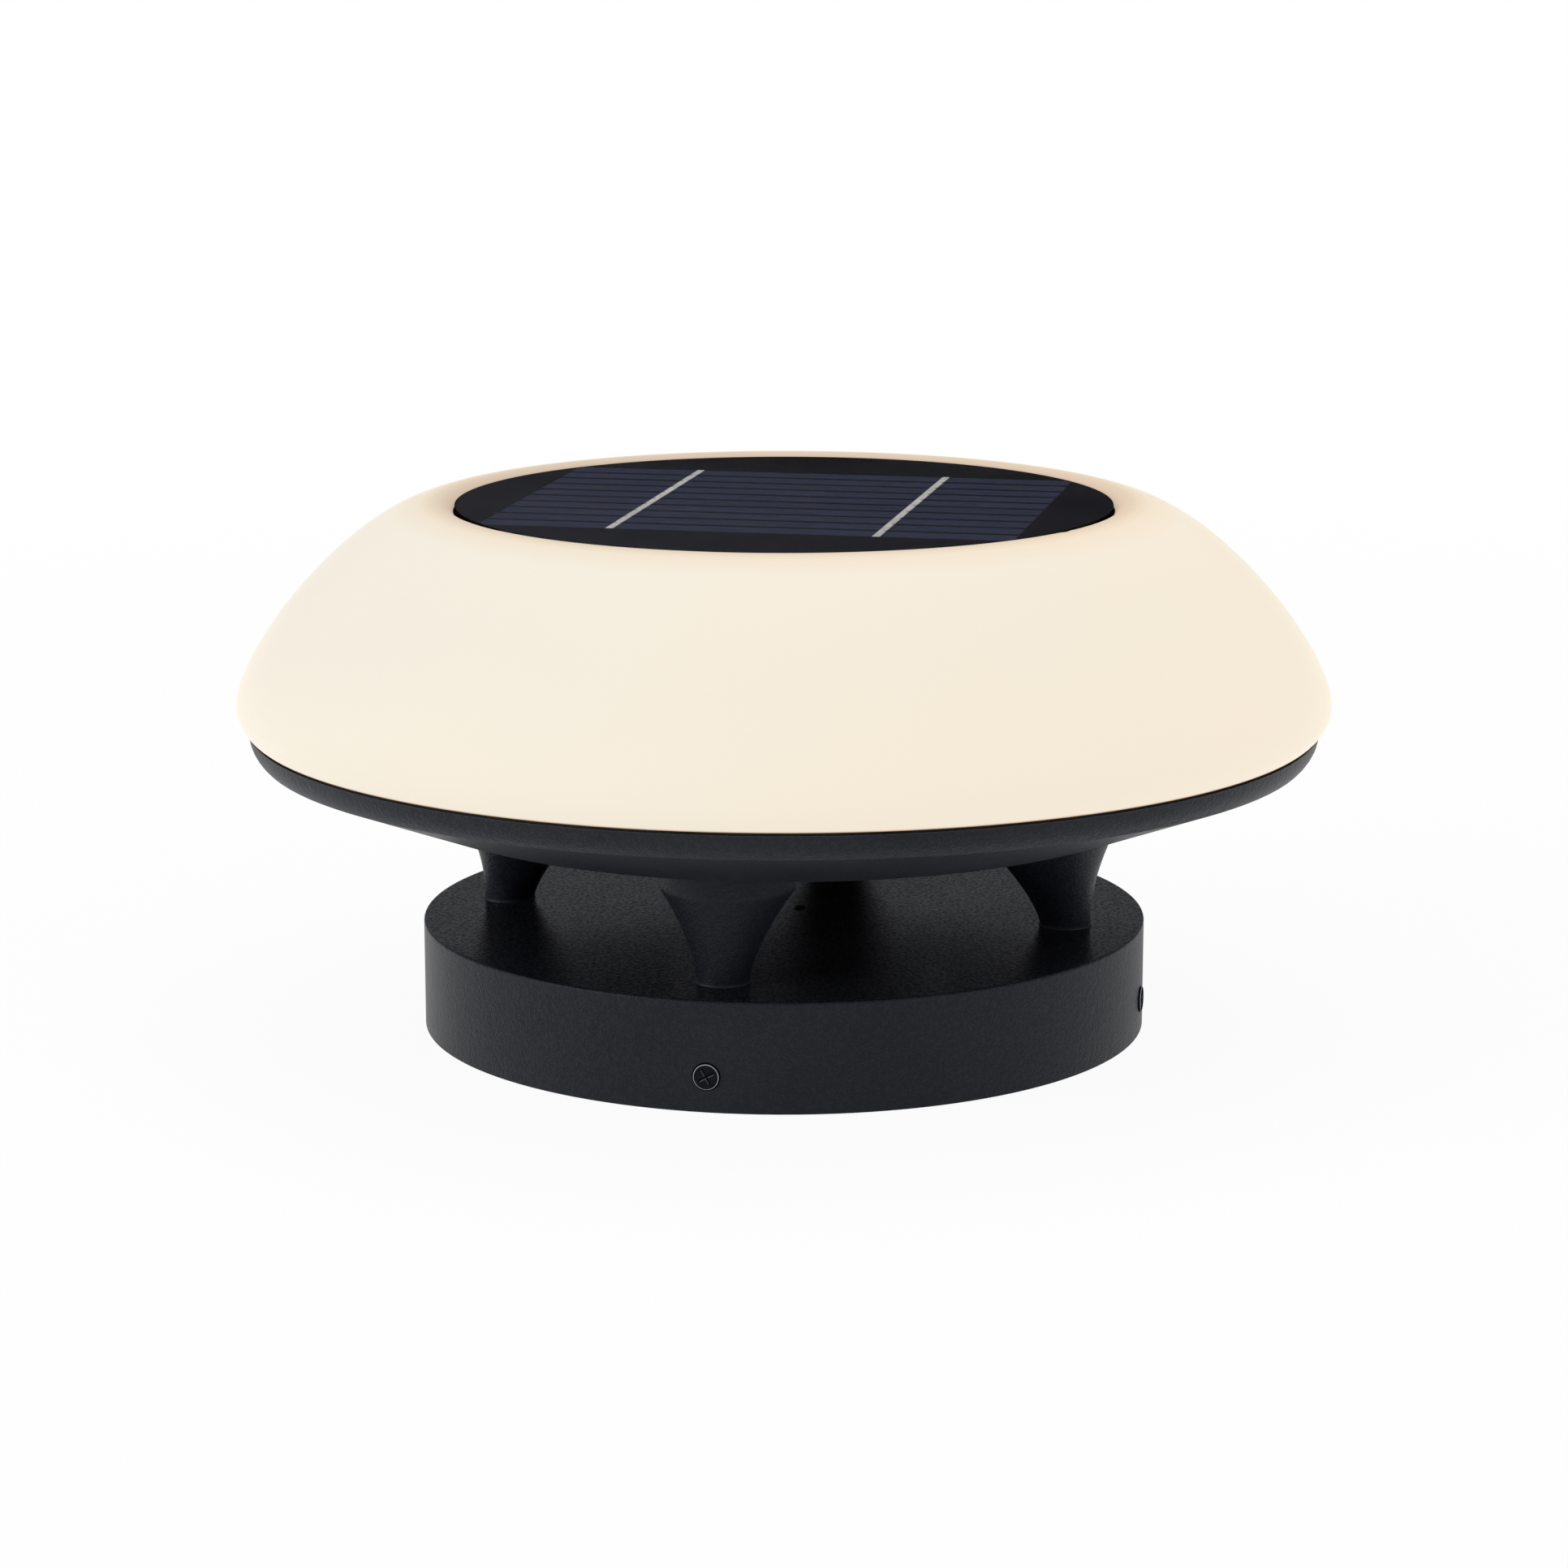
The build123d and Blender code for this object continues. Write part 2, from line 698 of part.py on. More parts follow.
# Battery: one round cell lying in an open holder, with a contact plate and solder tab at each end
battery_plane = Plane((0, -battery_place, battery_height), x_dir=(0, 1, 0), z_dir=(1, 0, 0))
with BuildPart() as battery_cell:
    with BuildSketch(battery_plane):
        Circle(battery_radius)
    extrude(amount=battery_length / 2, both=True)
save(battery_cell, "battery_cell")

with BuildPart() as battery_holder:
    with BuildSketch(Plane.XY.offset(cup_inside)):
        with Locations((0, -battery_place)):
            Rectangle(holder_length, holder_depth)
    extrude(amount=battery_height - cup_inside)
    with BuildSketch(battery_plane):
        Circle(trough_radius)
    extrude(amount=trough_length / 2, both=True, mode=Mode.SUBTRACT)
save(battery_holder, "battery_holder")

tab_length = contact_thickness + holder_clearance / 2 + holder_wall
with BuildPart() as battery_contacts:
    for end in (1, -1):
        with BuildSketch(battery_plane.offset(end * battery_length / 2)):
            with Locations((0, contact_tab - contact_width / 2)):
                Rectangle(contact_width / 2, contact_width)
        extrude(amount=end * contact_thickness)
        with BuildSketch(Plane((end * battery_length / 2, -battery_place, battery_height))):
            with Locations((end * tab_length / 2, 0)):
                Rectangle(tab_length, contact_width / 2)
        extrude(amount=contact_tab)
save(battery_contacts, "battery_contacts")

# Grommet where the leads pass the floor of the cup
with BuildPart() as lead_grommet:
    with BuildSketch(Plane.XY.offset(cup_bottom - grommet_flange)):
        with Locations(grommet_spot):
            Circle(grommet_radius)
    extrude(amount=cup_floor + 2 * grommet_flange)
    with BuildSketch(Plane.XY.offset(cup_bottom), Plane.XY.offset(cup_inside + grommet_flange)):
        with Locations(grommet_spot):
            Circle(grommet_radius + grommet_lip)
    extrude(amount=-grommet_flange)
    with BuildSketch(Plane.XY.offset(cup_bottom - grommet_flange)):
        with Locations(grommet_spot):
            with GridLocations(lead_pitch, lead_pitch, 2, 2):
                Circle(lead_radius + thread_clearance)
    extrude(amount=cup_floor + 2 * grommet_flange, mode=Mode.SUBTRACT)
save(lead_grommet, "lead_grommet")

# LED board on its bosses, with holes that the pillars pass
with BuildPart() as led_board:
    with BuildSketch(Plane.XY.offset(led_back)):
        Circle(led_board_outer)
        Circle(led_board_inner, mode=Mode.SUBTRACT)
        with PolarLocations(pillar_circle, pillar_count, start_angle=diagonal):
            Circle(pillar_radius + hole_clearance, mode=Mode.SUBTRACT)
        with PolarLocations(led_boss_place, len(sides)):
            Circle(led_screw_radius + hole_clearance, mode=Mode.SUBTRACT)
    extrude(amount=led_board_thickness)
save(led_board, "led_board")

with BuildPart() as led_chips:
    with BuildSketch(Plane.XY.offset(led_face)):
        with PolarLocations(led_circle, led_count):
            Rectangle(led_width, led_length)
    extrude(amount=led_height)
save(led_chips, "led_chips")

led_screw = pan_screw(
    led_screw_radius, led_screw_head_radius, led_screw_head_height, led_board_thickness + led_screw_grip
)
with BuildPart(Plane.XY.offset(led_face)) as led_board_screws:
    with PolarLocations(led_boss_place, len(sides)):
        add(led_screw)
save(led_board_screws, "led_board_screws")

# Reflector: a white sheet ring round the LED board that lies on the cone of the tray
reflector_inner = led_board_outer + reflector_margin
reflector_outer = skirt_inside - reflector_gap
cone_level = inner_cone(cone_start_radius, reflector_clearance)
bend_radius = cone_start_radius + (led_back - cone_level) / tan(cone_angle)
sheet_rise = reflector_thickness / cos(cone_angle)
sheet_shift = (sheet_rise - reflector_thickness) / tan(cone_angle)
with BuildPart() as reflector:
    with BuildSketch(Plane.XZ):
        with BuildLine():
            Polyline(
                (reflector_inner, led_back),
                (bend_radius, led_back),
                (reflector_outer, inner_cone(reflector_outer, reflector_clearance)),
                (reflector_outer, inner_cone(reflector_outer, reflector_clearance) + sheet_rise),
                (bend_radius - sheet_shift, led_back + reflector_thickness),
                (reflector_inner, led_back + reflector_thickness),
                close=True,
            )
        make_face()
    revolve(axis=Axis.Z)
    with BuildSketch(Plane.XY.offset(led_back)):
        with Locations(switch_spot):
            Circle(switch_nut_width / 2 / cos(radians(30)) + hole_clearance)
    extrude(amount=reflector_thickness, mode=Mode.SUBTRACT)
save(reflector, "reflector")

# Push switch through the floor of the tray: seal, housing, nut and button
seal_bottom = tray_bottom - switch_seal_thickness
housing_bottom = seal_bottom - switch_flange
housing_top = tray_bottom + switch_height
button_bottom = housing_bottom - button_stand
bore_depth = button_length - button_stand + button_travel + button_headroom
with BuildPart() as switch_seal:
    with BuildSketch(Plane.XY.offset(seal_bottom)):
        with Locations(switch_spot):
            Circle(switch_flange_radius)
            Circle(switch_radius + thread_clearance, mode=Mode.SUBTRACT)
    extrude(amount=switch_seal_thickness)
save(switch_seal, "switch_seal")

with BuildPart() as switch_housing:
    with BuildSketch(Plane.XY.offset(housing_bottom)):
        with Locations(switch_spot):
            Circle(switch_flange_radius)
    extrude(amount=switch_flange)
    with BuildSketch(Plane.XY.offset(housing_bottom)):
        with Locations(switch_spot):
            Circle(switch_radius)
    extrude(amount=housing_top - housing_bottom)
    with BuildSketch(Plane.XY.offset(housing_top)):
        with Locations(switch_spot):
            with GridLocations(0, switch_pin_spacing, 1, 2):
                Rectangle(switch_pin_width, switch_pin_width)
    extrude(amount=switch_pin_height)
    with BuildSketch(Plane.XY.offset(housing_bottom)):
        with Locations(switch_spot):
            Circle(button_radius + button_clearance)
    extrude(amount=bore_depth, mode=Mode.SUBTRACT)
save(switch_housing, "switch_housing")

with BuildPart() as switch_nut:
    with BuildSketch(Plane.XY.offset(tray_inside)):
        with Locations(switch_spot):
            RegularPolygon(switch_nut_width / 2, 6, major_radius=False, rotation=switch_angle - 30)
            Circle(switch_radius + thread_clearance, mode=Mode.SUBTRACT)
    extrude(amount=switch_nut_height)
save(switch_nut, "switch_nut")

with BuildPart() as switch_button:
    with BuildSketch(Plane.XY.offset(button_bottom)):
        with Locations(switch_spot):
            Circle(button_radius)
    extrude(amount=button_length)
    fillet(switch_button.edges().group_by(Axis.Z)[0], button_edge_radius)
save(switch_button, "switch_button")


def lead(points):
    # One lead along straight runs and bends, its first run standing upright
    with BuildPart() as wire:
        with BuildLine():
            path = FilletPolyline(*points, radius=lead_bend)
        with BuildSketch(Plane(points[0])):
            Circle(lead_radius)
        sweep(path=path)
    return wire.part


# Leads to the LED board and to the switch: up through the grommet and over to the header
header_top = board_top + header_height
half_pitch = lead_pitch / 2
led_lead_parts = []
switch_lead_parts = []
for row, top in ((-1, header_top + lead_drop), (1, header_top + lead_drop + lead_step)):
    bend_y = grommet_place + row * half_pitch
    land_y = header_spot[1] - row * half_pitch
    over_led = [(-half_pitch, bend_y, top), (-half_pitch, land_y, top), (-half_pitch, land_y, header_top)]
    over_switch = [(half_pitch, y, z) for x, y, z in over_led]
    led_lead_parts.append(lead([(-half_pitch, bend_y, led_face)] + over_led))
    pin = (switch_spot[0], switch_spot[1] + row * switch_pin_spacing / 2, housing_top + switch_pin_height)
    rise = pin[2] + 2 * lead_bend
    start = [pin, (pin[0], pin[1], rise), (half_pitch, bend_y, rise)]
    switch_lead_parts.append(lead(start + over_switch))

with BuildPart() as led_leads:
    add(led_lead_parts)
save(led_leads, "led_leads")

with BuildPart() as switch_leads:
    add(switch_lead_parts)
save(switch_leads, "switch_leads")

# Leads from the back of the panel to the panel plug
panel_lead_parts = []
for row in (-1, 1):
    x = plug_spot[0] + row * half_pitch
    near_y = plug_spot[1]
    far_y = near_y + panel_lead_shift
    low = header_top + lead_drop
    high = low + panel_lead_climb
    points = [(x, near_y, header_top), (x, near_y, low), (x, far_y, high), (x, far_y, panel_back)]
    panel_lead_parts.append(lead(points))
with BuildPart() as panel_leads:
    add(panel_lead_parts)
save(panel_leads, "panel_leads")

# Leads from the solder tabs of the battery contacts to the battery terminals
battery_lead_parts = []
for end in (1, -1):
    tab_x = end * (battery_length / 2 + tab_length - lead_radius)
    tab_top = battery_height + contact_tab
    over = tab_top + 2 * lead_bend
    points = [
        (tab_x, -battery_place, tab_top),
        (tab_x, -battery_place, over),
        (tab_x, battery_lead_turn - battery_place, over),
        (end * terminal_x, terminal_y, over),
        (end * terminal_x, terminal_y, board_top + terminal_height),
    ]
    battery_lead_parts.append(lead(points))
with BuildPart() as battery_leads:
    add(battery_lead_parts)
save(battery_leads, "battery_leads")
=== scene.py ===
import math

import bmesh
import bpy
from mathutils import Matrix, Vector


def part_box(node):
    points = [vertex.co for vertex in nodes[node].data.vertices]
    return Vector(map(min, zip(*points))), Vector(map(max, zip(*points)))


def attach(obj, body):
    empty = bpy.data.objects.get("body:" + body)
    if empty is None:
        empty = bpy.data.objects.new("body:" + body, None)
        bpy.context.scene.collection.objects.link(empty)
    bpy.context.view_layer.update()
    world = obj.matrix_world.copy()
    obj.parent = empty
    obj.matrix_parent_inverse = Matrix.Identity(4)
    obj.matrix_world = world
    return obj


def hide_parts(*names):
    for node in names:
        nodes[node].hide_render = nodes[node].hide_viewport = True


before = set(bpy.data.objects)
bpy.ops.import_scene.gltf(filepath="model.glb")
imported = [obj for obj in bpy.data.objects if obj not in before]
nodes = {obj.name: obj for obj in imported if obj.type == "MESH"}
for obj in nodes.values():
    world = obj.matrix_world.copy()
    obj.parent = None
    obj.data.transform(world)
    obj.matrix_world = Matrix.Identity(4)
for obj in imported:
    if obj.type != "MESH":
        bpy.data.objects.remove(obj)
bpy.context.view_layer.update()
scene = bpy.context.scene
mm = 0.001
print("frame loaded,", len(nodes), "nodes")


# node helpers

def addNode(tree, kind, values=None, **settings):
    node = tree.nodes.new(kind)
    for name, value in settings.items():
        setattr(node, name, value)
    for socket, value in (values or {}).items():
        node.inputs[socket].default_value = value
    return node


def wire(tree, source, *targets):
    for target in targets:
        tree.links.new(source, target)


def mathNode(tree, operation, first, second=None, third=None, clamp=False):
    node = addNode(tree, "ShaderNodeMath", operation=operation, use_clamp=clamp)
    for index, value in enumerate((first, second, third)):
        if value is None:
            continue
        if isinstance(value, (int, float)):
            node.inputs[index].default_value = value
        else:
            wire(tree, value, node.inputs[index])
    return node.outputs[0]


def spread(tree, value, low, high, toLow=0.0, toHigh=1.0, smooth=True):
    node = addNode(tree, "ShaderNodeMapRange", {1: low, 2: high, 3: toLow, 4: toHigh})
    node.interpolation_type = "SMOOTHSTEP" if smooth else "LINEAR"
    wire(tree, value, node.inputs[0])
    return node.outputs[0]


def axesOf(tree, vector):
    node = addNode(tree, "ShaderNodeSeparateXYZ")
    wire(tree, vector, node.inputs[0])
    return node.outputs[0], node.outputs[1], node.outputs[2]


def facingUp(tree):
    surface = addNode(tree, "ShaderNodeNewGeometry")
    return axesOf(tree, surface.outputs["True Normal"])[2]


def mixColour(tree, factor, first, second, blend="MIX"):
    node = addNode(tree, "ShaderNodeMix", data_type="RGBA", blend_type=blend)
    for socket, value in ((0, factor), (6, first), (7, second)):
        if isinstance(value, (int, float)):
            node.inputs[socket].default_value = value
        elif isinstance(value, (tuple, list)):
            node.inputs[socket].default_value = (*value[:3], 1.0)
        else:
            wire(tree, value, node.inputs[socket])
    return node.outputs[2]


def startGroup(name, inputs, outputs):
    group = bpy.data.node_groups.new(name, "ShaderNodeTree")
    for label, value in inputs.items():
        kind = "NodeSocketVector" if value is None else "NodeSocketFloat"
        socket = group.interface.new_socket(label, in_out="INPUT", socket_type=kind)
        if value is not None:
            socket.default_value = value
    for label in outputs:
        group.interface.new_socket(label, in_out="OUTPUT", socket_type="NodeSocketFloat")
    return group, group.nodes.new("NodeGroupInput"), group.nodes.new("NodeGroupOutput")


def useGroup(tree, group, vector=None, **values):
    node = tree.nodes.new("ShaderNodeGroup")
    node.node_tree = group
    if vector is not None:
        wire(tree, vector, node.inputs["Vector"])
    for label, value in values.items():
        node.inputs[label].default_value = value
    return node


# shared effects

driftRange = (0.3, 0.7)
streakRange = (0.25, 0.75)
fleckRange = (0.2, 0.8)
pebbleShape = {
    "warpScale": 0.7,
    "warpReach": 1.1,
    "softness": 0.35,
    "dome": (0.1, 0.75),
    "domeShare": 0.7,
    "fineScale": 2.3,
    "fineShare": 0.3,
    "peelScale": 0.38,
    "peelShare": 1.4,
}


def makePebbles(shape):
    # warped cells with a domed top on a slow orange peel, like a textured powder coat
    group, source, sink = startGroup("pebbles", {"Vector": None, "Scale": 1800.0}, ["Height", "Fleck"])
    vector, scale = source.outputs["Vector"], source.outputs["Scale"]

    def noise(detail, share):
        node = addNode(group, "ShaderNodeTexNoise", {"Detail": detail})
        wire(group, vector, node.inputs["Vector"])
        wire(group, mathNode(group, "MULTIPLY", scale, share), node.inputs["Scale"])
        return node

    warp = noise(1.0, shape["warpScale"])
    shift = addNode(group, "ShaderNodeVectorMath", {1: (0.5, 0.5, 0.5)}, operation="SUBTRACT")
    wire(group, warp.outputs["Color"], shift.inputs[0])
    reach = addNode(group, "ShaderNodeVectorMath", operation="SCALE")
    wire(group, shift.outputs[0], reach.inputs[0])
    wire(group, mathNode(group, "DIVIDE", shape["warpReach"], scale), reach.inputs["Scale"])
    moved = addNode(group, "ShaderNodeVectorMath", operation="ADD")
    wire(group, vector, moved.inputs[0])
    wire(group, reach.outputs[0], moved.inputs[1])
    cells = addNode(group, "ShaderNodeTexVoronoi", {"Smoothness": shape["softness"]}, feature="SMOOTH_F1")
    wire(group, moved.outputs[0], cells.inputs["Vector"])
    wire(group, scale, cells.inputs["Scale"])
    dome = spread(group, cells.outputs["Distance"], *shape["dome"], 1.0, 0.0)
    fine = noise(2.0, shape["fineScale"])
    peel = noise(1.0, shape["peelScale"])
    rough = mathNode(group, "MULTIPLY", fine.outputs[0], shape["fineShare"])
    rough = mathNode(group, "MULTIPLY_ADD", peel.outputs[0], shape["peelShare"], rough)
    wire(group, mathNode(group, "MULTIPLY_ADD", dome, shape["domeShare"], rough), sink.inputs["Height"])
    wire(group, fine.outputs[0], sink.inputs["Fleck"])
    return group


def makeDrift():
    # slow change of tone over a surface
    group, source, sink = startGroup("drift", {"Vector": None, "Scale": 30.0}, ["Value"])
    slow = addNode(group, "ShaderNodeTexNoise", {"Detail": 3.0, "Roughness": 0.55})
    wire(group, source.outputs["Vector"], slow.inputs["Vector"])
    wire(group, source.outputs["Scale"], slow.inputs["Scale"])
    wire(group, spread(group, slow.outputs[0], *driftRange), sink.inputs["Value"])
    return group


def makeEdges():
    # one on sharp edges, nought on faces
    group, source, sink = startGroup("edges", {"Radius": 0.0004, "Gain": 6.0}, ["Mask"])
    bevel = addNode(group, "ShaderNodeBevel", samples=6)
    wire(group, source.outputs["Radius"], bevel.inputs["Radius"])
    surface = addNode(group, "ShaderNodeNewGeometry")
    alike = addNode(group, "ShaderNodeVectorMath", operation="DOT_PRODUCT")
    wire(group, bevel.outputs[0], alike.inputs[0])
    wire(group, surface.outputs["Normal"], alike.inputs[1])
    turn = mathNode(group, "SUBTRACT", 1.0, alike.outputs["Value"])
    wire(group, mathNode(group, "MULTIPLY", turn, source.outputs["Gain"], clamp=True), sink.inputs["Mask"])
    return group


def makeStreaks():
    # long fine lines along X, for drawn metal and for cells
    inputs = {"Vector": None, "Across": 4000.0, "Along": 60.0}
    group, source, sink = startGroup("streaks", inputs, ["Value"])
    scales = addNode(group, "ShaderNodeCombineXYZ")
    wire(group, source.outputs["Along"], scales.inputs[0])
    wire(group, source.outputs["Across"], scales.inputs[1], scales.inputs[2])
    stretched = addNode(group, "ShaderNodeVectorMath", operation="MULTIPLY")
    wire(group, source.outputs["Vector"], stretched.inputs[0])
    wire(group, scales.outputs[0], stretched.inputs[1])
    lines = addNode(group, "ShaderNodeTexNoise", {"Scale": 1.0, "Detail": 2.0})
    wire(group, stretched.outputs[0], lines.inputs["Vector"])
    wire(group, spread(group, lines.outputs[0], *streakRange), sink.inputs["Value"])
    return group


def makeRadial():
    # distance from the upright axis and height, in metres
    group, source, sink = startGroup("radial", {"Vector": None}, ["Radius", "Height"])
    x, y, z = axesOf(group, source.outputs["Vector"])
    square = mathNode(group, "MULTIPLY_ADD", x, x, mathNode(group, "MULTIPLY", y, y))
    wire(group, mathNode(group, "SQRT", square), sink.inputs["Radius"])
    wire(group, z, sink.inputs["Height"])
    return group


pebbles, drift, edges = makePebbles(pebbleShape), makeDrift(), makeEdges()
streaks, radial = makeStreaks(), makeRadial()
print("shared effects made")


# materials

def startMaterial(name, **sockets):
    material = bpy.data.materials.new(name)
    material.use_nodes = True
    tree = material.node_tree
    shader = tree.nodes["Principled BSDF"]
    for socket, value in sockets.items():
        label = socket.replace("_", " ")
        shader.inputs[label].default_value = (*value, 1.0) if isinstance(value, tuple) else value
    place = addNode(tree, "ShaderNodeTexCoord").outputs["Object"]
    return material, tree, shader, place


def bumpOn(tree, shader, height, depth, strength=1.0):
    bump = addNode(tree, "ShaderNodeBump", {"Strength": strength, "Distance": depth})
    wire(tree, height, bump.inputs["Height"])
    wire(tree, bump.outputs[0], shader.inputs["Normal"])


def roughen(tree, shader, value, low, high, roughness):
    wire(tree, spread(tree, value, low, high, *roughness), shader.inputs["Roughness"])


def coatedMetal(name, look):
    material, tree, shader, place = startMaterial(
        name,
        Specular_IOR_Level=look["gloss"],
        Coat_IOR=look["pitIor"],
        Coat_Roughness=look["pitRoughness"],
        Coat_Tint=(0.0, 0.0, 0.0),
    )
    grain = useGroup(tree, pebbles, place, Scale=1 / look["pebble"])
    tone = useGroup(tree, drift, place, Scale=look["driftScale"]).outputs[0]
    paintedEdgeLight = useGroup(tree, edges, Radius=look["edgeRadius"], Gain=look["edgeGain"]).outputs[0]
    # painted shade: the hills of the grain are painted lighter and its hollows darker, over a slow random
    # tone
    paintedGrainShade = spread(tree, grain.outputs["Height"], *look["paintedGrainShade"])
    paintedGrainShade = mathNode(tree, "MULTIPLY", paintedGrainShade, look["grainShadeShare"])
    shade = mathNode(tree, "MULTIPLY_ADD", tone, 1 - look["grainShadeShare"], paintedGrainShade)
    coat = mixColour(tree, shade, look["dark"], look["light"])
    # pale specks of dust and painted sheen, and dull pits, lie on faces that look up
    rise = facingUp(tree)
    upward = spread(tree, rise, *look["upward"])
    specks = useGroup(tree, pebbles, place, Scale=1 / look["speck"]).outputs["Fleck"]
    pits = spread(tree, specks, *look["pitRange"], look["pits"], 0.0)
    wire(tree, mathNode(tree, "MULTIPLY", pits, upward), shader.inputs["Coat Weight"])
    dustAndLight = mathNode(tree, "MULTIPLY", spread(tree, specks, *look["speckRange"]), upward)
    coat = mixColour(tree, mathNode(tree, "MULTIPLY", dustAndLight, look["dustAndLight"]), coat, look["edge"])
    # painted highlight: sharp edges, such as the tray's crease, are painted lighter
    coat = mixColour(tree, mathNode(tree, "MULTIPLY", paintedEdgeLight, look["edgeLightShare"]), coat, look["edge"])
    wire(tree, coat, shader.inputs["Base Color"])
    # the coat lies smoother on faces that look up, and duller on those that look down
    rough = spread(tree, rise, *look["upward"], look["roughness"], look["roughnessUp"])
    under = spread(tree, rise, *look["downward"], look["roughnessDown"] - look["roughness"], 0.0)
    rough = mathNode(tree, "ADD", rough, under)
    wave = mathNode(tree, "MULTIPLY", mathNode(tree, "SUBTRACT", tone, 0.5), 2 * look["roughnessDrift"])
    wire(tree, mathNode(tree, "ADD", rough, wave), shader.inputs["Roughness"])
    relief = spread(tree, rise, *look["upward"], 1.0, look["reliefUp"])
    bumpOn(tree, shader, mathNode(tree, "MULTIPLY", grain.outputs["Height"], relief), look["depth"])
    return material


metalFinish = {"lineShare": 0.25, "swing": 0.06, "lineStrength": 0.4}


def bareMetal(name, look):
    material, tree, shader, place = startMaterial(name, Metallic=1.0)
    lines = useGroup(tree, streaks, place, Across=look["across"], Along=look["along"]).outputs[0]
    tone = useGroup(tree, drift, place, Scale=look["driftScale"]).outputs[0]
    plate = mixColour(tree, tone, look["dark"], look["light"])
    lined = mathNode(tree, "MULTIPLY", lines, metalFinish["lineShare"])
    plate = mixColour(tree, lined, plate, look["line"])
    wire(tree, plate, shader.inputs["Base Color"])
    swing = metalFinish["swing"]
    roughen(tree, shader, lines, 0.0, 1.0, (look["roughness"] - swing, look["roughness"] + swing))
    bumpOn(tree, shader, lines, look["depth"], metalFinish["lineStrength"])
    return material


mouldFinish = {
    "gloss": 0.4,
    "drift": 60.0,
    "rubRadius": 0.3 * mm,
    "rubGain": 4.0,
    "rubShare": 0.35,
    "swing": 0.05,
}


def moulded(name, look):
    gloss = look.get("gloss", mouldFinish["gloss"])
    material, tree, shader, place = startMaterial(name, Specular_IOR_Level=gloss)
    skin = useGroup(tree, pebbles, place, Scale=1 / look["grain"])
    tone = useGroup(tree, drift, place, Scale=mouldFinish["drift"]).outputs[0]
    rub = useGroup(tree, edges, Radius=mouldFinish["rubRadius"], Gain=mouldFinish["rubGain"]).outputs[0]
    body = mixColour(tree, tone, look["dark"], look["light"])
    body = mixColour(tree, mathNode(tree, "MULTIPLY", rub, mouldFinish["rubShare"]), body, look["rubbed"])
    wire(tree, body, shader.inputs["Base Color"])
    swing = mouldFinish["swing"]
    roughness = (look["roughness"] - swing, look["roughness"] + swing)
    roughen(tree, shader, skin.outputs["Fleck"], *fleckRange, roughness)
    bumpOn(tree, shader, skin.outputs["Height"], look["depth"])
    return material


def dress(material, *names):
    for name in names:
        nodes[name].material_slots[0].material = material
        nodes[name].data.update()


# body: base cover, legs and tray, cast and powder coated
bodyCoat = {
    "dark": (0.0118, 0.0131, 0.0171),
    "light": (0.0228, 0.0250, 0.0316),
    "edge": (0.055, 0.057, 0.062),
    "gloss": 0.14,
    "roughness": 0.41,
    "roughnessUp": 0.215,
    "roughnessDown": 0.9,
    "roughnessDrift": 0.03,
    "pebble": 0.00046,
    "depth": 0.00007,
    "reliefUp": 0.18,
    "upward": (0.8, 0.95),
    "downward": (-0.99, -0.955),
    "paintedGrainShade": (0.8, 1.6),
    "driftScale": 22.0,
    "grainShadeShare": 0.58,
    "speck": 0.0016,
    "dustAndLight": 0.25,
    "speckRange": (0.5, 0.72),
    "pits": 0.55,
    "pitRange": (0.38, 0.58),
    "pitIor": 1.05,
    "pitRoughness": 0.5,
    "edgeRadius": 0.0004,
    "edgeGain": 6.0,
    "edgeLightShare": 0.7,
}
coatMaterial = coatedMetal("powderCoat", bodyCoat)
dress(coatMaterial, "base_cover", "tray", "leg_front", "leg_right", "leg_back", "leg_left")
print("body coated")

# shade: opal moulding that glows, dimmer and warmer towards the panel and along the seam, cooler on the
# left and warmer on the right; its base colour is painted darker near the panel and in the gap round the
# panel, painted shade
shadeGlow = {
    "body": (0.24, 0.23, 0.205),
    "bodyShade": (0.225, 0.213, 0.190),
    "warm": (0.752, 0.660, 0.527),
    "cool": (0.640, 0.600, 0.524),
    "seam": (0.35, 0.20, 0.10),
    "gapShade": (0.012, 0.009, 0.007),
    "rimStart": 0.0655,
    "rimEnd": 0.0800,
    "rim": ((0.02, (0.72, 0.63, 0.57)), (0.10, (0.78, 0.67, 0.61)), (0.28, (0.86, 0.775, 0.695)),
            (0.38, (0.92, 0.85, 0.775)), (0.52, (0.98, 0.93, 0.88)), (0.95, (1.0, 1.0, 1.0))),
    "gapEdge": 0.0658,
    "gapSoft": 0.0002,
    "seamHeight": 0.00045,
    "foot": (0.765, 0.680, 0.545),
    "footReach": 0.030,
    "footShare": 0.4,
    "roughness": (0.38, 0.46),
    "gloss": 0.03,
    "drift": 7.0,
    "driftShare": 0.3,
    "side": 0.1,
    "sideShare": 0.7,
    "satin": 2600.0,
    "satinDepth": 0.000006,
}


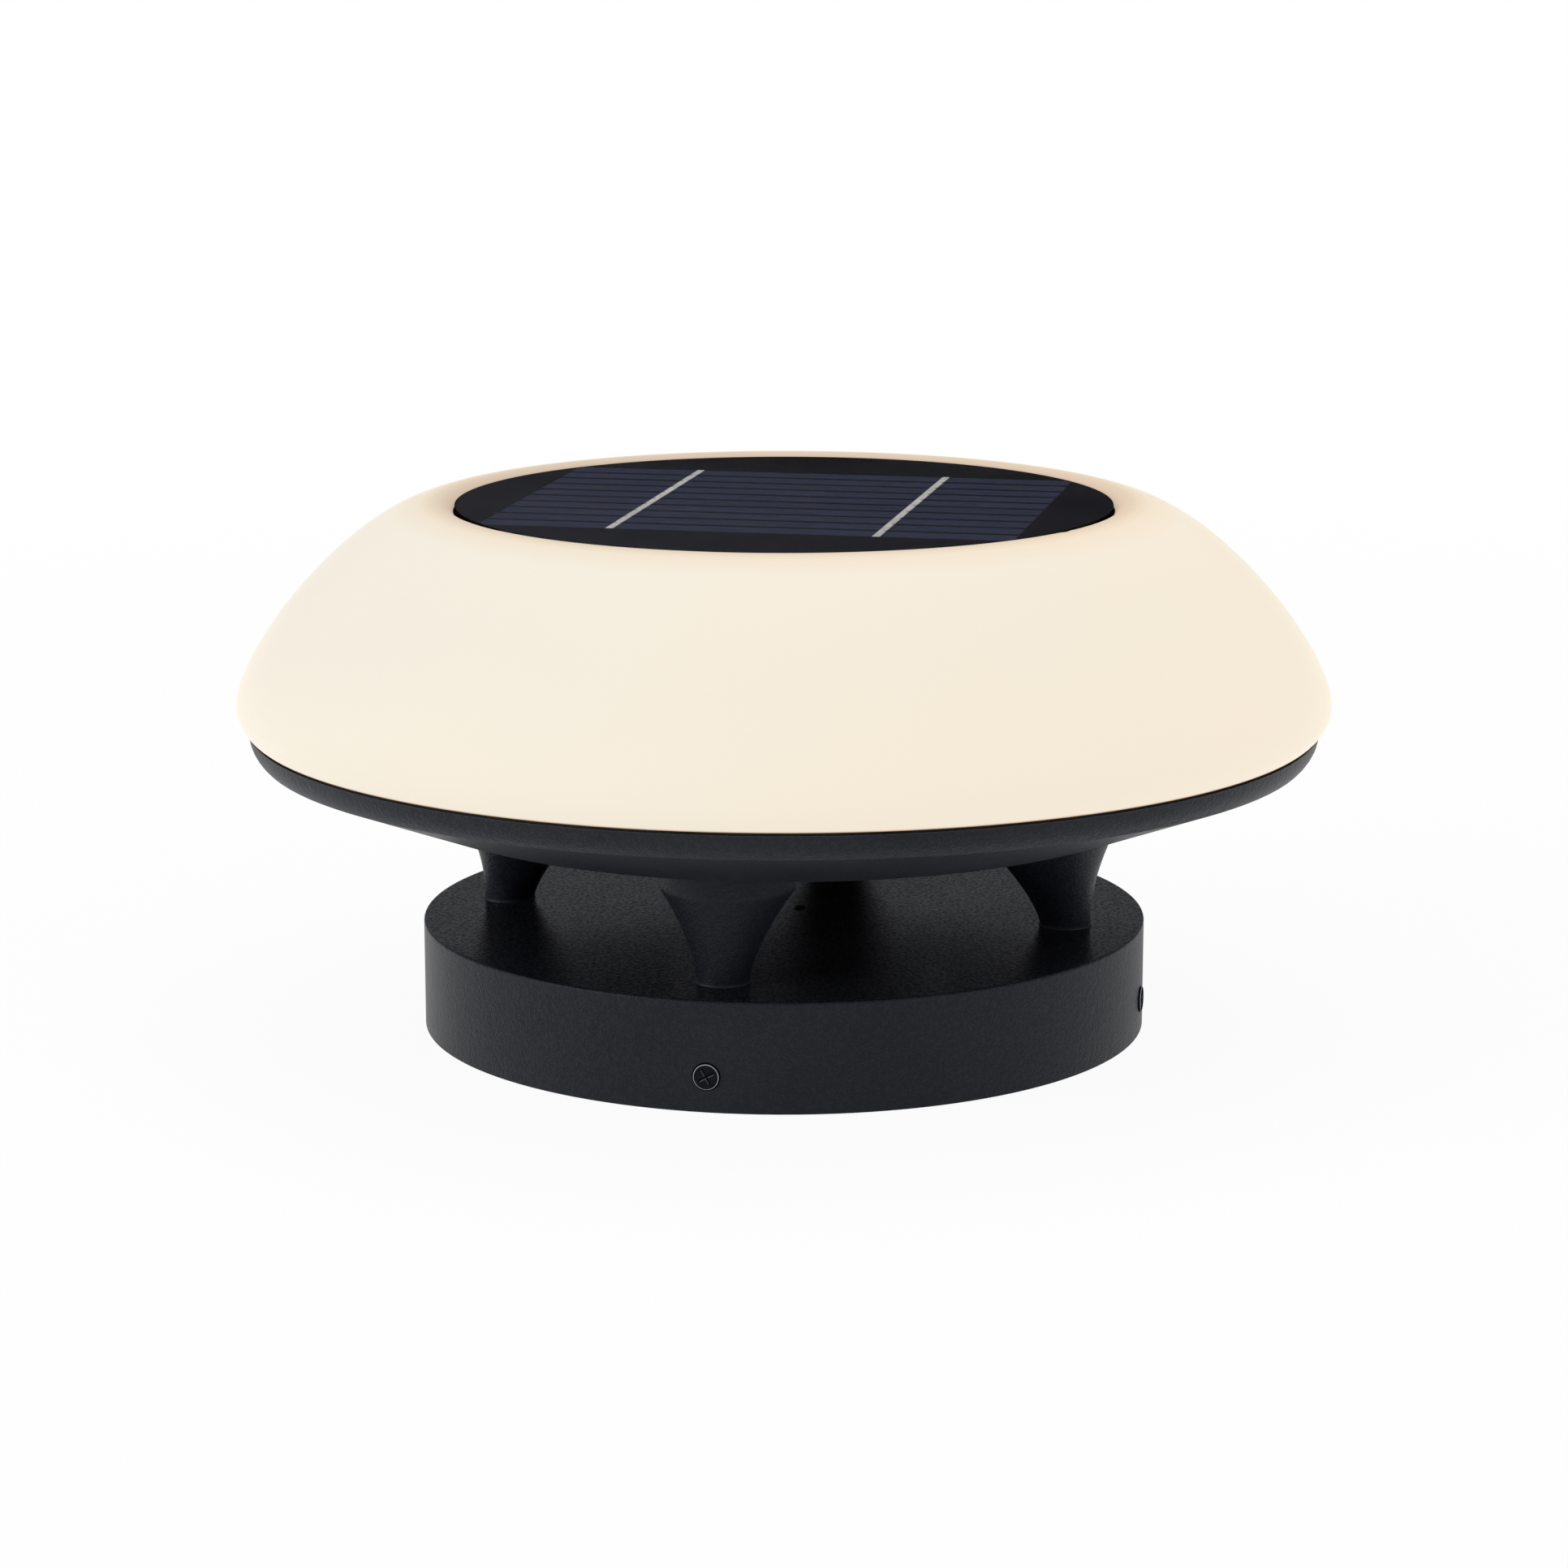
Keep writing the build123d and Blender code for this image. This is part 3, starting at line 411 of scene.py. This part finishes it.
def makeOpal(look):
    material, tree, shader, place = startMaterial(
        "opalGlow", Emission_Strength=1.0, Specular_IOR_Level=look["gloss"]
    )
    polar = useGroup(tree, radial, place)
    radius, height = polar.outputs["Radius"], polar.outputs["Height"]
    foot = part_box("shade_gasket")[1].z
    drifted = useGroup(tree, drift, place, Scale=look["drift"]).outputs[0]
    # painted light: the glow is cooler on the left and warmer on the right
    across = spread(tree, axesOf(tree, place)[0], -look["side"], look["side"], smooth=False)
    across = mathNode(tree, "MULTIPLY", across, look["sideShare"])
    warmth = mathNode(tree, "MULTIPLY_ADD", drifted, look["driftShare"], across)
    glow = mixColour(tree, warmth, look["cool"], look["warm"])
    # the lamp board lies low, so the foot of the shade is a little brighter
    nearFoot = spread(tree, height, foot, foot + look["footReach"], look["footShare"], 0.0)
    glow = mixColour(tree, nearFoot, glow, look["foot"])
    ramp = addNode(tree, "ShaderNodeValToRGB")
    while len(ramp.color_ramp.elements) < len(look["rim"]):
        ramp.color_ramp.elements.new(1.0)
    for stop, (position, colour) in zip(ramp.color_ramp.elements, look["rim"]):
        stop.position = position
        stop.color = (*colour, 1.0)
    wire(tree, spread(tree, radius, look["rimStart"], look["rimEnd"], smooth=False), ramp.inputs[0])
    glow = mixColour(tree, 1.0, glow, ramp.outputs[0], blend="MULTIPLY")
    nearSeam = spread(tree, height, foot, foot + look["seamHeight"], 1.0, 0.0)
    glow = mixColour(tree, nearSeam, glow, look["seam"])
    # painted shade: the gap round the panel is painted dark, in the glow and in the base colour
    inGapShade = spread(tree, radius, look["gapEdge"], look["gapEdge"] + look["gapSoft"], 1.0, 0.0)
    wire(tree, mixColour(tree, inGapShade, glow, (0.0, 0.0, 0.0)), shader.inputs["Emission Color"])
    body = mixColour(tree, drifted, look["body"], look["bodyShade"])
    # painted shade: the rim ramp also darkens the base colour near the panel
    body = mixColour(tree, 1.0, body, ramp.outputs[0], blend="MULTIPLY")
    wire(tree, mixColour(tree, inGapShade, body, look["gapShade"]), shader.inputs["Base Color"])
    satin = useGroup(tree, pebbles, place, Scale=look["satin"])
    roughen(tree, shader, satin.outputs["Fleck"], *fleckRange, look["roughness"])
    bumpOn(tree, shader, satin.outputs["Height"], look["satinDepth"])
    return material


dress(makeOpal(shadeGlow), "shade")
print("shade lit")

# solar panel: black board, ten cell strips, two tinned ribbons, matt film on top
panelLook = {
    "boardDark": (0.0045, 0.0044, 0.0066),
    "boardLight": (0.0158, 0.0160, 0.0196),
    "span": 0.065,
    "cellDark": (0.0185, 0.0215, 0.043),
    "cellLight": (0.038, 0.0415, 0.069),
    "cellLine": (0.052, 0.056, 0.084),
    "tin": (0.62, 0.605, 0.57),
    "tinShade": (0.44, 0.43, 0.40),
    "strips": 10,
    "stripGap": 0.9 * mm,
    "fingers": 7,
    "crystal": 210.0,
    "rimWidth": 0.40 * mm,
    "rim": (0.0025, 0.0022, 0.0022),
    "boardDrift": 45.0,
    "boardShares": {"drift": 0.1, "dustAndLight": 0.9},
    "boardRoughness": (0.42, 0.52),
    "weave": 1500.0,
    "cellStreaks": {"Across": 1500.0, "Along": 45.0},
    "cellDrift": 90.0,
    "cellShares": {"own": 0.14, "streaks": 0.2, "drift": 0.12, "crystals": 0.26, "dustAndLight": 0.36},
    "cellRoughness": (0.36, 0.5),
    "fingerWidth": 0.16,
    "fingerShare": 0.35,
    "fingerDepth": 0.000008,
    "ribbonGloss": 0.3,
    "ribbonDrift": 400.0,
    "ribbonRoughness": (0.35, 0.5),
    "solder": 1400.0,
    "solderDepth": 0.00003,
}


def paintedLightSlope(tree, place, span):
    # painted light: lighter towards the front left of the panel, darker towards the back right
    x, y, _ = axesOf(tree, place)
    return spread(tree, mathNode(tree, "ADD", x, y), -span, span, 1.0, 0.0, smooth=False)


def makeBoard(look):
    material, tree, shader, place = startMaterial("panelBlack", Specular_IOR_Level=0.0)
    shares = look["boardShares"]
    tone = useGroup(tree, drift, place, Scale=look["boardDrift"]).outputs[0]
    tone = mathNode(tree, "MULTIPLY", tone, shares["drift"])
    # painted light: the board is lighter towards the front left
    tone = mathNode(tree, "MULTIPLY_ADD", paintedLightSlope(tree, place, look["span"]), shares["dustAndLight"], tone)
    board = mixColour(tree, tone, look["boardDark"], look["boardLight"])
    # painted shade: the outer edge of the board is painted near black, the shade of the gap round the panel
    reach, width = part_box("panel_board")[1].x, look["rimWidth"]
    radius = useGroup(tree, radial, place).outputs["Radius"]
    atRim = spread(tree, radius, reach - width, reach - width / 2)
    wire(tree, mixColour(tree, atRim, board, look["rim"]), shader.inputs["Base Color"])
    weave = useGroup(tree, pebbles, place, Scale=look["weave"])
    roughen(tree, shader, weave.outputs["Fleck"], *fleckRange, look["boardRoughness"])
    return material


def makeCells(look):
    # each strip has its own tone and its crystals, with fine finger lines along it
    material, tree, shader, place = startMaterial("solarCells", Specular_IOR_Level=0.0)
    shares = look["cellShares"]
    low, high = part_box("cell_strips")
    pitch = (high.y - low.y + look["stripGap"]) / look["strips"]
    along = mathNode(tree, "SUBTRACT", axesOf(tree, place)[1], low.y)
    own = addNode(tree, "ShaderNodeTexWhiteNoise", noise_dimensions="1D")
    wire(tree, mathNode(tree, "FLOOR", mathNode(tree, "DIVIDE", along, pitch)), own.inputs["W"])
    streaked = useGroup(tree, streaks, place, **look["cellStreaks"]).outputs[0]
    cloudy = useGroup(tree, drift, place, Scale=look["cellDrift"]).outputs[0]
    crystals = addNode(tree, "ShaderNodeTexVoronoi", {"Scale": look["crystal"]})
    wire(tree, place, crystals.inputs["Vector"])
    grain = axesOf(tree, crystals.outputs["Color"])[0]
    tone = mathNode(tree, "MULTIPLY", streaked, shares["streaks"])
    tone = mathNode(tree, "MULTIPLY_ADD", own.outputs[0], shares["own"], tone)
    tone = mathNode(tree, "MULTIPLY_ADD", cloudy, shares["drift"], tone)
    tone = mathNode(tree, "MULTIPLY_ADD", grain, shares["crystals"], tone)
    # painted light: the cells are lighter towards the front left
    tone = mathNode(tree, "MULTIPLY_ADD", paintedLightSlope(tree, place, look["span"]), shares["dustAndLight"], tone)
    colour = mixColour(tree, tone, look["cellDark"], look["cellLight"])
    finger = mathNode(tree, "FRACT", mathNode(tree, "DIVIDE", along, pitch / look["fingers"]))
    finger = mathNode(tree, "ABSOLUTE", mathNode(tree, "SUBTRACT", finger, 0.5))
    finger = spread(tree, finger, 0.0, look["fingerWidth"], 1.0, 0.0)
    lined = mathNode(tree, "MULTIPLY", finger, look["fingerShare"])
    wire(tree, mixColour(tree, lined, colour, look["cellLine"]), shader.inputs["Base Color"])
    roughen(tree, shader, streaked, 0.0, 1.0, look["cellRoughness"])
    bumpOn(tree, shader, finger, look["fingerDepth"])
    return material


def makeRibbon(look):
    material, tree, shader, place = startMaterial("tinnedRibbon", Specular_IOR_Level=look["ribbonGloss"])
    solder = useGroup(tree, pebbles, place, Scale=look["solder"])
    tone = useGroup(tree, drift, place, Scale=look["ribbonDrift"]).outputs[0]
    wire(tree, mixColour(tree, tone, look["tinShade"], look["tin"]), shader.inputs["Base Color"])
    roughen(tree, shader, solder.outputs["Fleck"], *fleckRange, look["ribbonRoughness"])
    bumpOn(tree, shader, solder.outputs["Height"], look["solderDepth"])
    return material


filmLook = {
    "lift": 0.02 * mm,
    "round": 0.12 * mm,
    "around": 256,
    "steps": 4,
    "colour": (0.05, 0.05, 0.055),
    "gloss": 0.3,
    "drift": 35.0,
    "alpha": (0.035, 0.055),
    "matt": 2200.0,
    "roughness": (0.26, 0.36),
}


def filmMesh(look, low, high):
    # a thin round sheet with a rounded upper edge, just clear of the board
    reach, top, bottom = (high.x - low.x) / 2, high.z, low.z + look["lift"]
    profile = [(reach, bottom)]
    for step in range(look["steps"] + 1):
        angle = math.pi / 2 * step / look["steps"]
        inward, downward = 1 - math.cos(angle), 1 - math.sin(angle)
        profile.append((reach - look["round"] * inward, top - look["round"] * downward))
    mesh = bmesh.new()
    rings = []
    turns = [2 * math.pi * index / look["around"] for index in range(look["around"])]
    for radius, height in profile:
        rings.append([mesh.verts.new((radius * math.cos(t), radius * math.sin(t), height)) for t in turns])
    for lower, upper in zip(rings, rings[1:]):
        for index in range(look["around"]):
            after = (index + 1) % look["around"]
            mesh.faces.new((lower[index], lower[after], upper[after], upper[index])).smooth = True
    mesh.faces.new(list(reversed(rings[0])))
    mesh.faces.new(rings[-1])
    made = bpy.data.meshes.new("panelFilm")
    mesh.to_mesh(made)
    mesh.free()
    return made


def makeFilm(look):
    # thin matt laminate: the alpha changes a little with the drift of the surface
    material, tree, shader, place = startMaterial(
        "clearFilm", Base_Color=look["colour"], Specular_IOR_Level=look["gloss"]
    )
    tone = useGroup(tree, drift, place, Scale=look["drift"]).outputs[0]
    matt = useGroup(tree, pebbles, place, Scale=look["matt"])
    wire(tree, spread(tree, tone, 0.0, 1.0, *look["alpha"]), shader.inputs["Alpha"])
    roughen(tree, shader, matt.outputs["Fleck"], *fleckRange, look["roughness"])
    return material


dress(makeBoard(panelLook), "panel_board")
dress(makeCells(panelLook), "cell_strips")
dress(makeRibbon(panelLook), "cell_ribbons")
filmSheet = filmMesh(filmLook, *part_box("panel_film"))
filmSheet.materials.append(makeFilm(filmLook))
film = bpy.data.objects.new("panelFilm", filmSheet)
scene.collection.objects.link(film)
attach(film, "light")
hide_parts("panel_film")
print("solar panel finished")

# steel: mounting plate and screws
steelLooks = {
    "zincPlate": {
        "light": (0.62, 0.63, 0.65), "dark": (0.48, 0.49, 0.51), "line": (0.72, 0.73, 0.74),
        "roughness": 0.38, "across": 2600.0, "along": 70.0, "driftScale": 55.0, "depth": 0.00001,
    },
    "stainless": {
        "light": (0.66, 0.66, 0.67), "dark": (0.52, 0.52, 0.53), "line": (0.75, 0.75, 0.76),
        "roughness": 0.28, "across": 3500.0, "along": 400.0, "driftScale": 200.0, "depth": 0.000006,
    },
    "nickel": {
        "light": (0.70, 0.68, 0.62), "dark": (0.58, 0.56, 0.51), "line": (0.78, 0.76, 0.70),
        "roughness": 0.30, "across": 3200.0, "along": 150.0, "driftScale": 150.0, "depth": 0.000006,
    },
}
steel = {name: bareMetal(name, look) for name, look in steelLooks.items()}
dress(steel["zincPlate"], "mounting_plate")
dress(steel["stainless"], "leg_foot_screws", "leg_head_screws", "carrier_screws")
dress(steel["stainless"], "led_board_screws", "board_screws", "switch_nut")
dress(steel["nickel"], "battery_contacts")
print("steel finished")

# moulded and sheet pieces: seals, plastics, boards
mouldedLooks = {
    "sealRubber": {
        "nodes": ("shade_gasket", "panel_gasket", "switch_seal", "lead_grommet"),
        "light": (0.035, 0.035, 0.036), "dark": (0.022, 0.022, 0.023), "rubbed": (0.07, 0.07, 0.07),
        "roughness": 0.72, "grain": 0.0003, "depth": 0.00002, "gloss": 0.25,
    },
    "foamTape": {
        "nodes": ("panel_adhesive",),
        "light": (0.085, 0.085, 0.09), "dark": (0.05, 0.05, 0.055), "rubbed": (0.12, 0.12, 0.12),
        "roughness": 0.85, "grain": 0.0006, "depth": 0.00012, "gloss": 0.2,
    },
    "carrierWhite": {
        "nodes": ("panel_carrier",),
        "light": (0.86, 0.86, 0.84), "dark": (0.80, 0.80, 0.77), "rubbed": (0.9, 0.9, 0.88),
        "roughness": 0.5, "grain": 0.0004, "depth": 0.000012,
    },
    "boardGreen": {
        "nodes": ("control_board",),
        "light": (0.03, 0.21, 0.09), "dark": (0.02, 0.16, 0.065), "rubbed": (0.30, 0.28, 0.18),
        "roughness": 0.35, "grain": 0.0007, "depth": 0.00001,
    },
    "componentBlack": {
        "nodes": ("board_components",),
        "light": (0.035, 0.035, 0.035), "dark": (0.02, 0.02, 0.02), "rubbed": (0.08, 0.08, 0.08),
        "roughness": 0.55, "grain": 0.00025, "depth": 0.000015,
    },
    "cellSleeve": {
        "nodes": ("battery_cell",),
        "light": (0.05, 0.17, 0.44), "dark": (0.035, 0.13, 0.36), "rubbed": (0.12, 0.25, 0.5),
        "roughness": 0.3, "grain": 0.0012, "depth": 0.00002,
    },
    "holderBlack": {
        "nodes": ("battery_holder",),
        "light": (0.042, 0.042, 0.042), "dark": (0.028, 0.028, 0.028), "rubbed": (0.09, 0.09, 0.09),
        "roughness": 0.6, "grain": 0.0004, "depth": 0.00002,
    },
    "ledSubstrate": {
        "nodes": ("led_board",),
        "light": (0.88, 0.88, 0.87), "dark": (0.82, 0.82, 0.80), "rubbed": (0.7, 0.66, 0.55),
        "roughness": 0.42, "grain": 0.0007, "depth": 0.00001,
    },
    "reflectorWhite": {
        "nodes": ("reflector",),
        "light": (0.92, 0.92, 0.90), "dark": (0.87, 0.87, 0.85), "rubbed": (0.95, 0.95, 0.94),
        "roughness": 0.3, "grain": 0.0008, "depth": 0.00001,
    },
    "switchBlack": {
        "nodes": ("switch_housing",),
        "light": (0.034, 0.034, 0.036), "dark": (0.022, 0.022, 0.024), "rubbed": (0.09, 0.09, 0.09),
        "roughness": 0.5, "grain": 0.0003, "depth": 0.000015,
    },
    "buttonRubber": {
        "nodes": ("switch_button",),
        "light": (0.06, 0.06, 0.065), "dark": (0.04, 0.04, 0.044), "rubbed": (0.11, 0.11, 0.11),
        "roughness": 0.65, "grain": 0.00025, "depth": 0.00002, "gloss": 0.3,
    },
    "leadSleeve": {
        "nodes": ("led_leads", "switch_leads", "panel_leads", "battery_leads"),
        "light": (0.37, 0.022, 0.02), "dark": (0.28, 0.015, 0.014), "rubbed": (0.5, 0.08, 0.07),
        "roughness": 0.48, "grain": 0.0005, "depth": 0.00001,
    },
}
for name, look in mouldedLooks.items():
    dress(moulded(name, look), *look["nodes"])

# lamp chips: warm phosphor that glows
chipLook = {
    "phosphor": (0.95, 0.76, 0.28),
    "edge": (0.9, 0.85, 0.7),
    "glow": (1.0, 0.75, 0.40),
    "strength": 1.5,
    "roughness": 0.4,
    "drift": 900.0,
    "rimRadius": 0.3 * mm,
    "rimGain": 5.0,
}


def makeChips(look):
    material, tree, shader, place = startMaterial(
        "ledPhosphor", Emission_Strength=look["strength"], Roughness=look["roughness"]
    )
    tone = useGroup(tree, drift, place, Scale=look["drift"]).outputs[0]
    rim = useGroup(tree, edges, Radius=look["rimRadius"], Gain=look["rimGain"]).outputs[0]
    wire(tree, mixColour(tree, rim, look["phosphor"], look["edge"]), shader.inputs["Base Color"])
    wire(tree, mixColour(tree, tone, look["glow"], look["phosphor"]), shader.inputs["Emission Color"])
    return material


dress(makeChips(chipLook), "led_chips")
print("inner pieces finished")

# set screws: threaded, with a tapered cross recess, each in place of its plain solid
screwLook = {
    "pitch": 0.8 * mm,
    "threadDepth": 0.42 * mm,
    "plainEnd": 0.55 * mm,
    "standOut": 0.25 * mm,
    "chamfer": 0.12 * mm,
    "crossReach": 1.75 * mm,
    "crossHalf": 0.30 * mm,
    "crossDepth": 0.55 * mm,
    "crossTaper": 0.62,
    "crossEnd": 0.92,
    "rubbed": (0.60, 0.61, 0.62),
    "oxide": (0.0105, 0.0135, 0.0170),
    "oxideLight": (0.0140, 0.0175, 0.0215),
    "wallHighlight": 0.3,
    "edgeHighlight": 0.12,
    "crossTurn": 29.0,
    "around": 64,
    "steps": 120,
    "crest": 0.08,
    "flank": 0.84,
    "ringIn": (0.16 * mm, 0.12 * mm),
    "ringEnd": (0.12 * mm, 0.09 * mm),
    "litWallFrom": (0.01 * mm, 0.04 * mm),
    "litWallTo": (0.40 * mm, 0.55 * mm),
    "litWallRise": (0.3, 0.45),
    "litWallReach": (0.22 * mm, 0.12 * mm),
    "rubRadius": 0.07 * mm,
    "rubGain": 2.5,
    "drift": 500.0,
    "grain": 5000.0,
    "grainDepth": 0.000006,
    "roughness": (0.34, 0.5),
}
screwSides = {"front": -90, "right": 0, "back": 90, "left": 180}


def screwMesh(look, length, radius):
    # the axis runs along +X, from the point at nought to the slotted end
    mesh = bmesh.new()
    rings = []
    for step in range(look["steps"] + 1):
        x = length * step / look["steps"]
        toEnd = min(x, length - x)
        fade = min(1.0, max(0.0, (toEnd - look["chamfer"]) / look["plainEnd"]))
        ring = []
        for index in range(look["around"]):
            angle = 2 * math.pi * index / look["around"]
            phase = (x / look["pitch"] - index / look["around"]) % 1.0
            flank = min(1.0, max(0.0, (abs(phase - 0.5) * 2 - look["crest"]) / look["flank"]))
            reach = radius - look["threadDepth"] * flank * fade
            reach = min(reach, radius - max(0.0, look["chamfer"] - toEnd))
            ring.append(mesh.verts.new((x, reach * math.cos(angle), reach * math.sin(angle))))
        rings.append(ring)
    for low, high in zip(rings, rings[1:]):
        for index in range(look["around"]):
            after = (index + 1) % look["around"]
            mesh.faces.new((low[index], low[after], high[after], high[index]))
    mesh.faces.new(list(reversed(rings[0])))
    # cross recess in the outer end
    long, half = look["crossReach"], look["crossHalf"]
    corners = [(long, half), (half, half), (half, long), (-half, long), (-half, half), (-long, half)]
    corners += [(-y, -z) for y, z in corners]
    turn = Matrix.Rotation(math.radians(look["crossTurn"]), 2)
    mouth, floor = [], []
    for corner in corners:
        tapers = [look["crossTaper"] if abs(value) == half else look["crossEnd"] for value in corner]
        shrunk = [value * taper for value, taper in zip(corner, tapers)]
        mouth.append(mesh.verts.new((length, *(turn @ Vector(corner)))))
        floor.append(mesh.verts.new((length - look["crossDepth"], *(turn @ Vector(shrunk)))))
    count = len(corners)
    for index in range(count):
        after = (index + 1) % count
        mesh.faces.new((mouth[index], mouth[after], floor[after], floor[index]))
    mesh.faces.new(floor)
    rim = []
    for loop in (rings[-1], mouth):
        rim += [mesh.edges.get(pair) for pair in zip(loop, loop[1:] + loop[:1])]
    bmesh.ops.triangle_fill(mesh, edges=rim, use_beauty=True)
    bmesh.ops.recalc_face_normals(mesh, faces=mesh.faces)
    made = bpy.data.meshes.new("setScrew")
    mesh.to_mesh(made)
    mesh.free()
    made.shade_flat()
    return made


def makeScrewSteel(look):
    # black oxide with a bright ring round its end; its edges and the recess walls that look up are painted
    # paler, painted highlights
    material, tree, shader, place = startMaterial("blackOxide", Specular_IOR_Level=0.0)
    rub = useGroup(tree, edges, Radius=look["rubRadius"], Gain=look["rubGain"]).outputs[0]
    x, y, z = axesOf(tree, place)
    square = mathNode(tree, "MULTIPLY_ADD", y, y, mathNode(tree, "MULTIPLY", z, z))
    distance = mathNode(tree, "SQRT", square)
    low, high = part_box("set_screw_front")
    radius, length = (high.z - low.z) / 2, high.y - low.y + look["standOut"]
    atRim = spread(tree, distance, *(radius - inset for inset in look["ringIn"]))
    atEnd = spread(tree, x, *(length - inset for inset in look["ringEnd"]))
    ring = mathNode(tree, "MULTIPLY", atRim, atEnd)
    tone = useGroup(tree, drift, place, Scale=look["drift"]).outputs[0]
    grain = useGroup(tree, pebbles, place, Scale=look["grain"])
    oxide = mixColour(tree, tone, look["oxide"], look["oxideLight"])
    # painted highlight: the recess walls that look up are painted pale
    sunk = mathNode(tree, "SUBTRACT", length, x)
    litWall = spread(tree, sunk, *look["litWallTo"], look["wallHighlight"], 0.0)
    litWall = mathNode(tree, "MULTIPLY", spread(tree, sunk, *look["litWallFrom"]), litWall)
    litWall = mathNode(tree, "MULTIPLY", litWall, spread(tree, facingUp(tree), *look["litWallRise"]))
    inCross = spread(tree, distance, *(look["crossReach"] - inset for inset in look["litWallReach"]), 1.0, 0.0)
    bright = mathNode(tree, "MAXIMUM", ring, mathNode(tree, "MULTIPLY", rub, look["edgeHighlight"]))
    bright = mathNode(tree, "MAXIMUM", bright, mathNode(tree, "MULTIPLY", litWall, inCross))
    wire(tree, mixColour(tree, bright, oxide, look["rubbed"]), shader.inputs["Base Color"])
    roughen(tree, shader, grain.outputs["Fleck"], *fleckRange, look["roughness"])
    bumpOn(tree, shader, grain.outputs["Height"], look["grainDepth"])
    return material


screwSteel = makeScrewSteel(screwLook)
for side, angle in screwSides.items():
    low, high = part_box(f"set_screw_{side}")
    centre = (low + high) / 2
    length = max((high - low).x, (high - low).y)
    mesh = screwMesh(screwLook, length + screwLook["standOut"], (high - low).z / 2)
    mesh.materials.append(screwSteel)
    screw = bpy.data.objects.new(f"setScrew{side.capitalize()}", mesh)
    scene.collection.objects.link(screw)
    screw.matrix_world = (
        Matrix.Translation(centre)
        @ Matrix.Rotation(math.radians(angle), 4, "Z")
        @ Matrix.Translation((-length / 2, 0, 0))
    )
    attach(screw, f"set_screw_{side}")
    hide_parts(f"set_screw_{side}")
print("set screws threaded")

# stage: pale floor, white to the camera and still holding the shadow
stageLook = {
    "reach": 40.0,
    "around": 96,
    "drop": 0.2 * mm,
    "floor": (0.86, 0.86, 0.86),
    "roughness": 0.9,
    "white": 1.0,
    "whiteNear": 0.94,
    "near": 0.2,
    "far": 0.9,
}


def makeFloor(look):
    bpy.ops.mesh.primitive_circle_add(
        vertices=look["around"], radius=look["reach"], fill_type="NGON", location=(0, 0, -look["drop"])
    )
    floor = bpy.context.object
    floor.name = "floor"
    material, tree, shader, place = startMaterial(
        "paleFloor", Base_Color=look["floor"], Roughness=look["roughness"], Specular_IOR_Level=0.0
    )
    plain = addNode(tree, "ShaderNodeEmission", {"Strength": look["white"]})
    seen = addNode(tree, "ShaderNodeLightPath")
    mirrored = mathNode(tree, "MAXIMUM", seen.outputs["Is Glossy Ray"], seen.outputs["Is Transmission Ray"])
    shown = mathNode(tree, "MAXIMUM", seen.outputs["Is Camera Ray"], mirrored)
    mix = addNode(tree, "ShaderNodeMixShader")
    away = useGroup(tree, radial, place).outputs["Radius"]
    share = spread(tree, away, look["near"], look["far"], look["whiteNear"], 1.0)
    wire(tree, mathNode(tree, "MULTIPLY", shown, share), mix.inputs[0])
    wire(tree, shader.outputs[0], mix.inputs[1])
    wire(tree, plain.outputs[0], mix.inputs[2])
    wire(tree, mix.outputs[0], tree.nodes["Material Output"].inputs["Surface"])
    floor.data.materials.append(material)


makeFloor(stageLook)

# light: grey world and four soft lamps
lightLook = {
    "horizon": (0.146, 0.150, 0.162),
    "zenith": (0.50, 0.51, 0.52),
    "climb": (0.135, 0.42),
    "aim": (0, 0, 0.05),
    "lamps": {
        "keyLamp": {"place": (-1.98, -1.30, 1.05), "size": 1.6, "watts": 25.5},
        "lowLamp": {"place": (-2.2, -1.1, 0.45), "size": 1.2, "watts": 2.5},
        "fillLamp": {"place": (1.9, -1.0, 1.3), "size": 1.6, "watts": 8.5},
        "topLamp": {"place": (0.0, 0.3, 2.2), "size": 2.0, "watts": 15.0},
    },
}
world = bpy.data.worlds.new("studio")
world.use_nodes = True
skyTree = world.node_tree
rise = axesOf(skyTree, addNode(skyTree, "ShaderNodeTexCoord").outputs["Generated"])[2]
climb = spread(skyTree, rise, *lightLook["climb"])
sky = mixColour(skyTree, climb, lightLook["horizon"], lightLook["zenith"])
wire(skyTree, sky, skyTree.nodes["Background"].inputs["Color"])
scene.world = world
for name, lamp in lightLook["lamps"].items():
    light = bpy.data.lights.new(name, "AREA")
    light.shape = "DISK"
    light.size = lamp["size"]
    light.energy = lamp["watts"]
    holder = bpy.data.objects.new(name, light)
    holder.location = lamp["place"]
    aim = Vector(lightLook["aim"]) - holder.location
    holder.rotation_euler = aim.to_track_quat("-Z", "Y").to_euler()
    scene.collection.objects.link(holder)
print("stage and lamps set")

# camera at the angle of the photograph
cameraLook = {
    "azimuth": 11.57,
    "distance": 0.8607,
    "height": 0.2333,
    "pitch": 12.152,
    "lens": 99.94,
    "sensor": 36.0,
}
camera = bpy.data.cameras.new("camera")
camera.lens = cameraLook["lens"]
camera.sensor_width = cameraLook["sensor"]
eye = bpy.data.objects.new("camera", camera)
turn = math.radians(cameraLook["azimuth"])
eye.location = (
    cameraLook["distance"] * math.sin(turn),
    -cameraLook["distance"] * math.cos(turn),
    cameraLook["height"],
)
eye.rotation_euler = (math.radians(90 - cameraLook["pitch"]), 0, turn)
scene.collection.objects.link(eye)
scene.camera = eye
scene.view_settings.view_transform = "Standard"
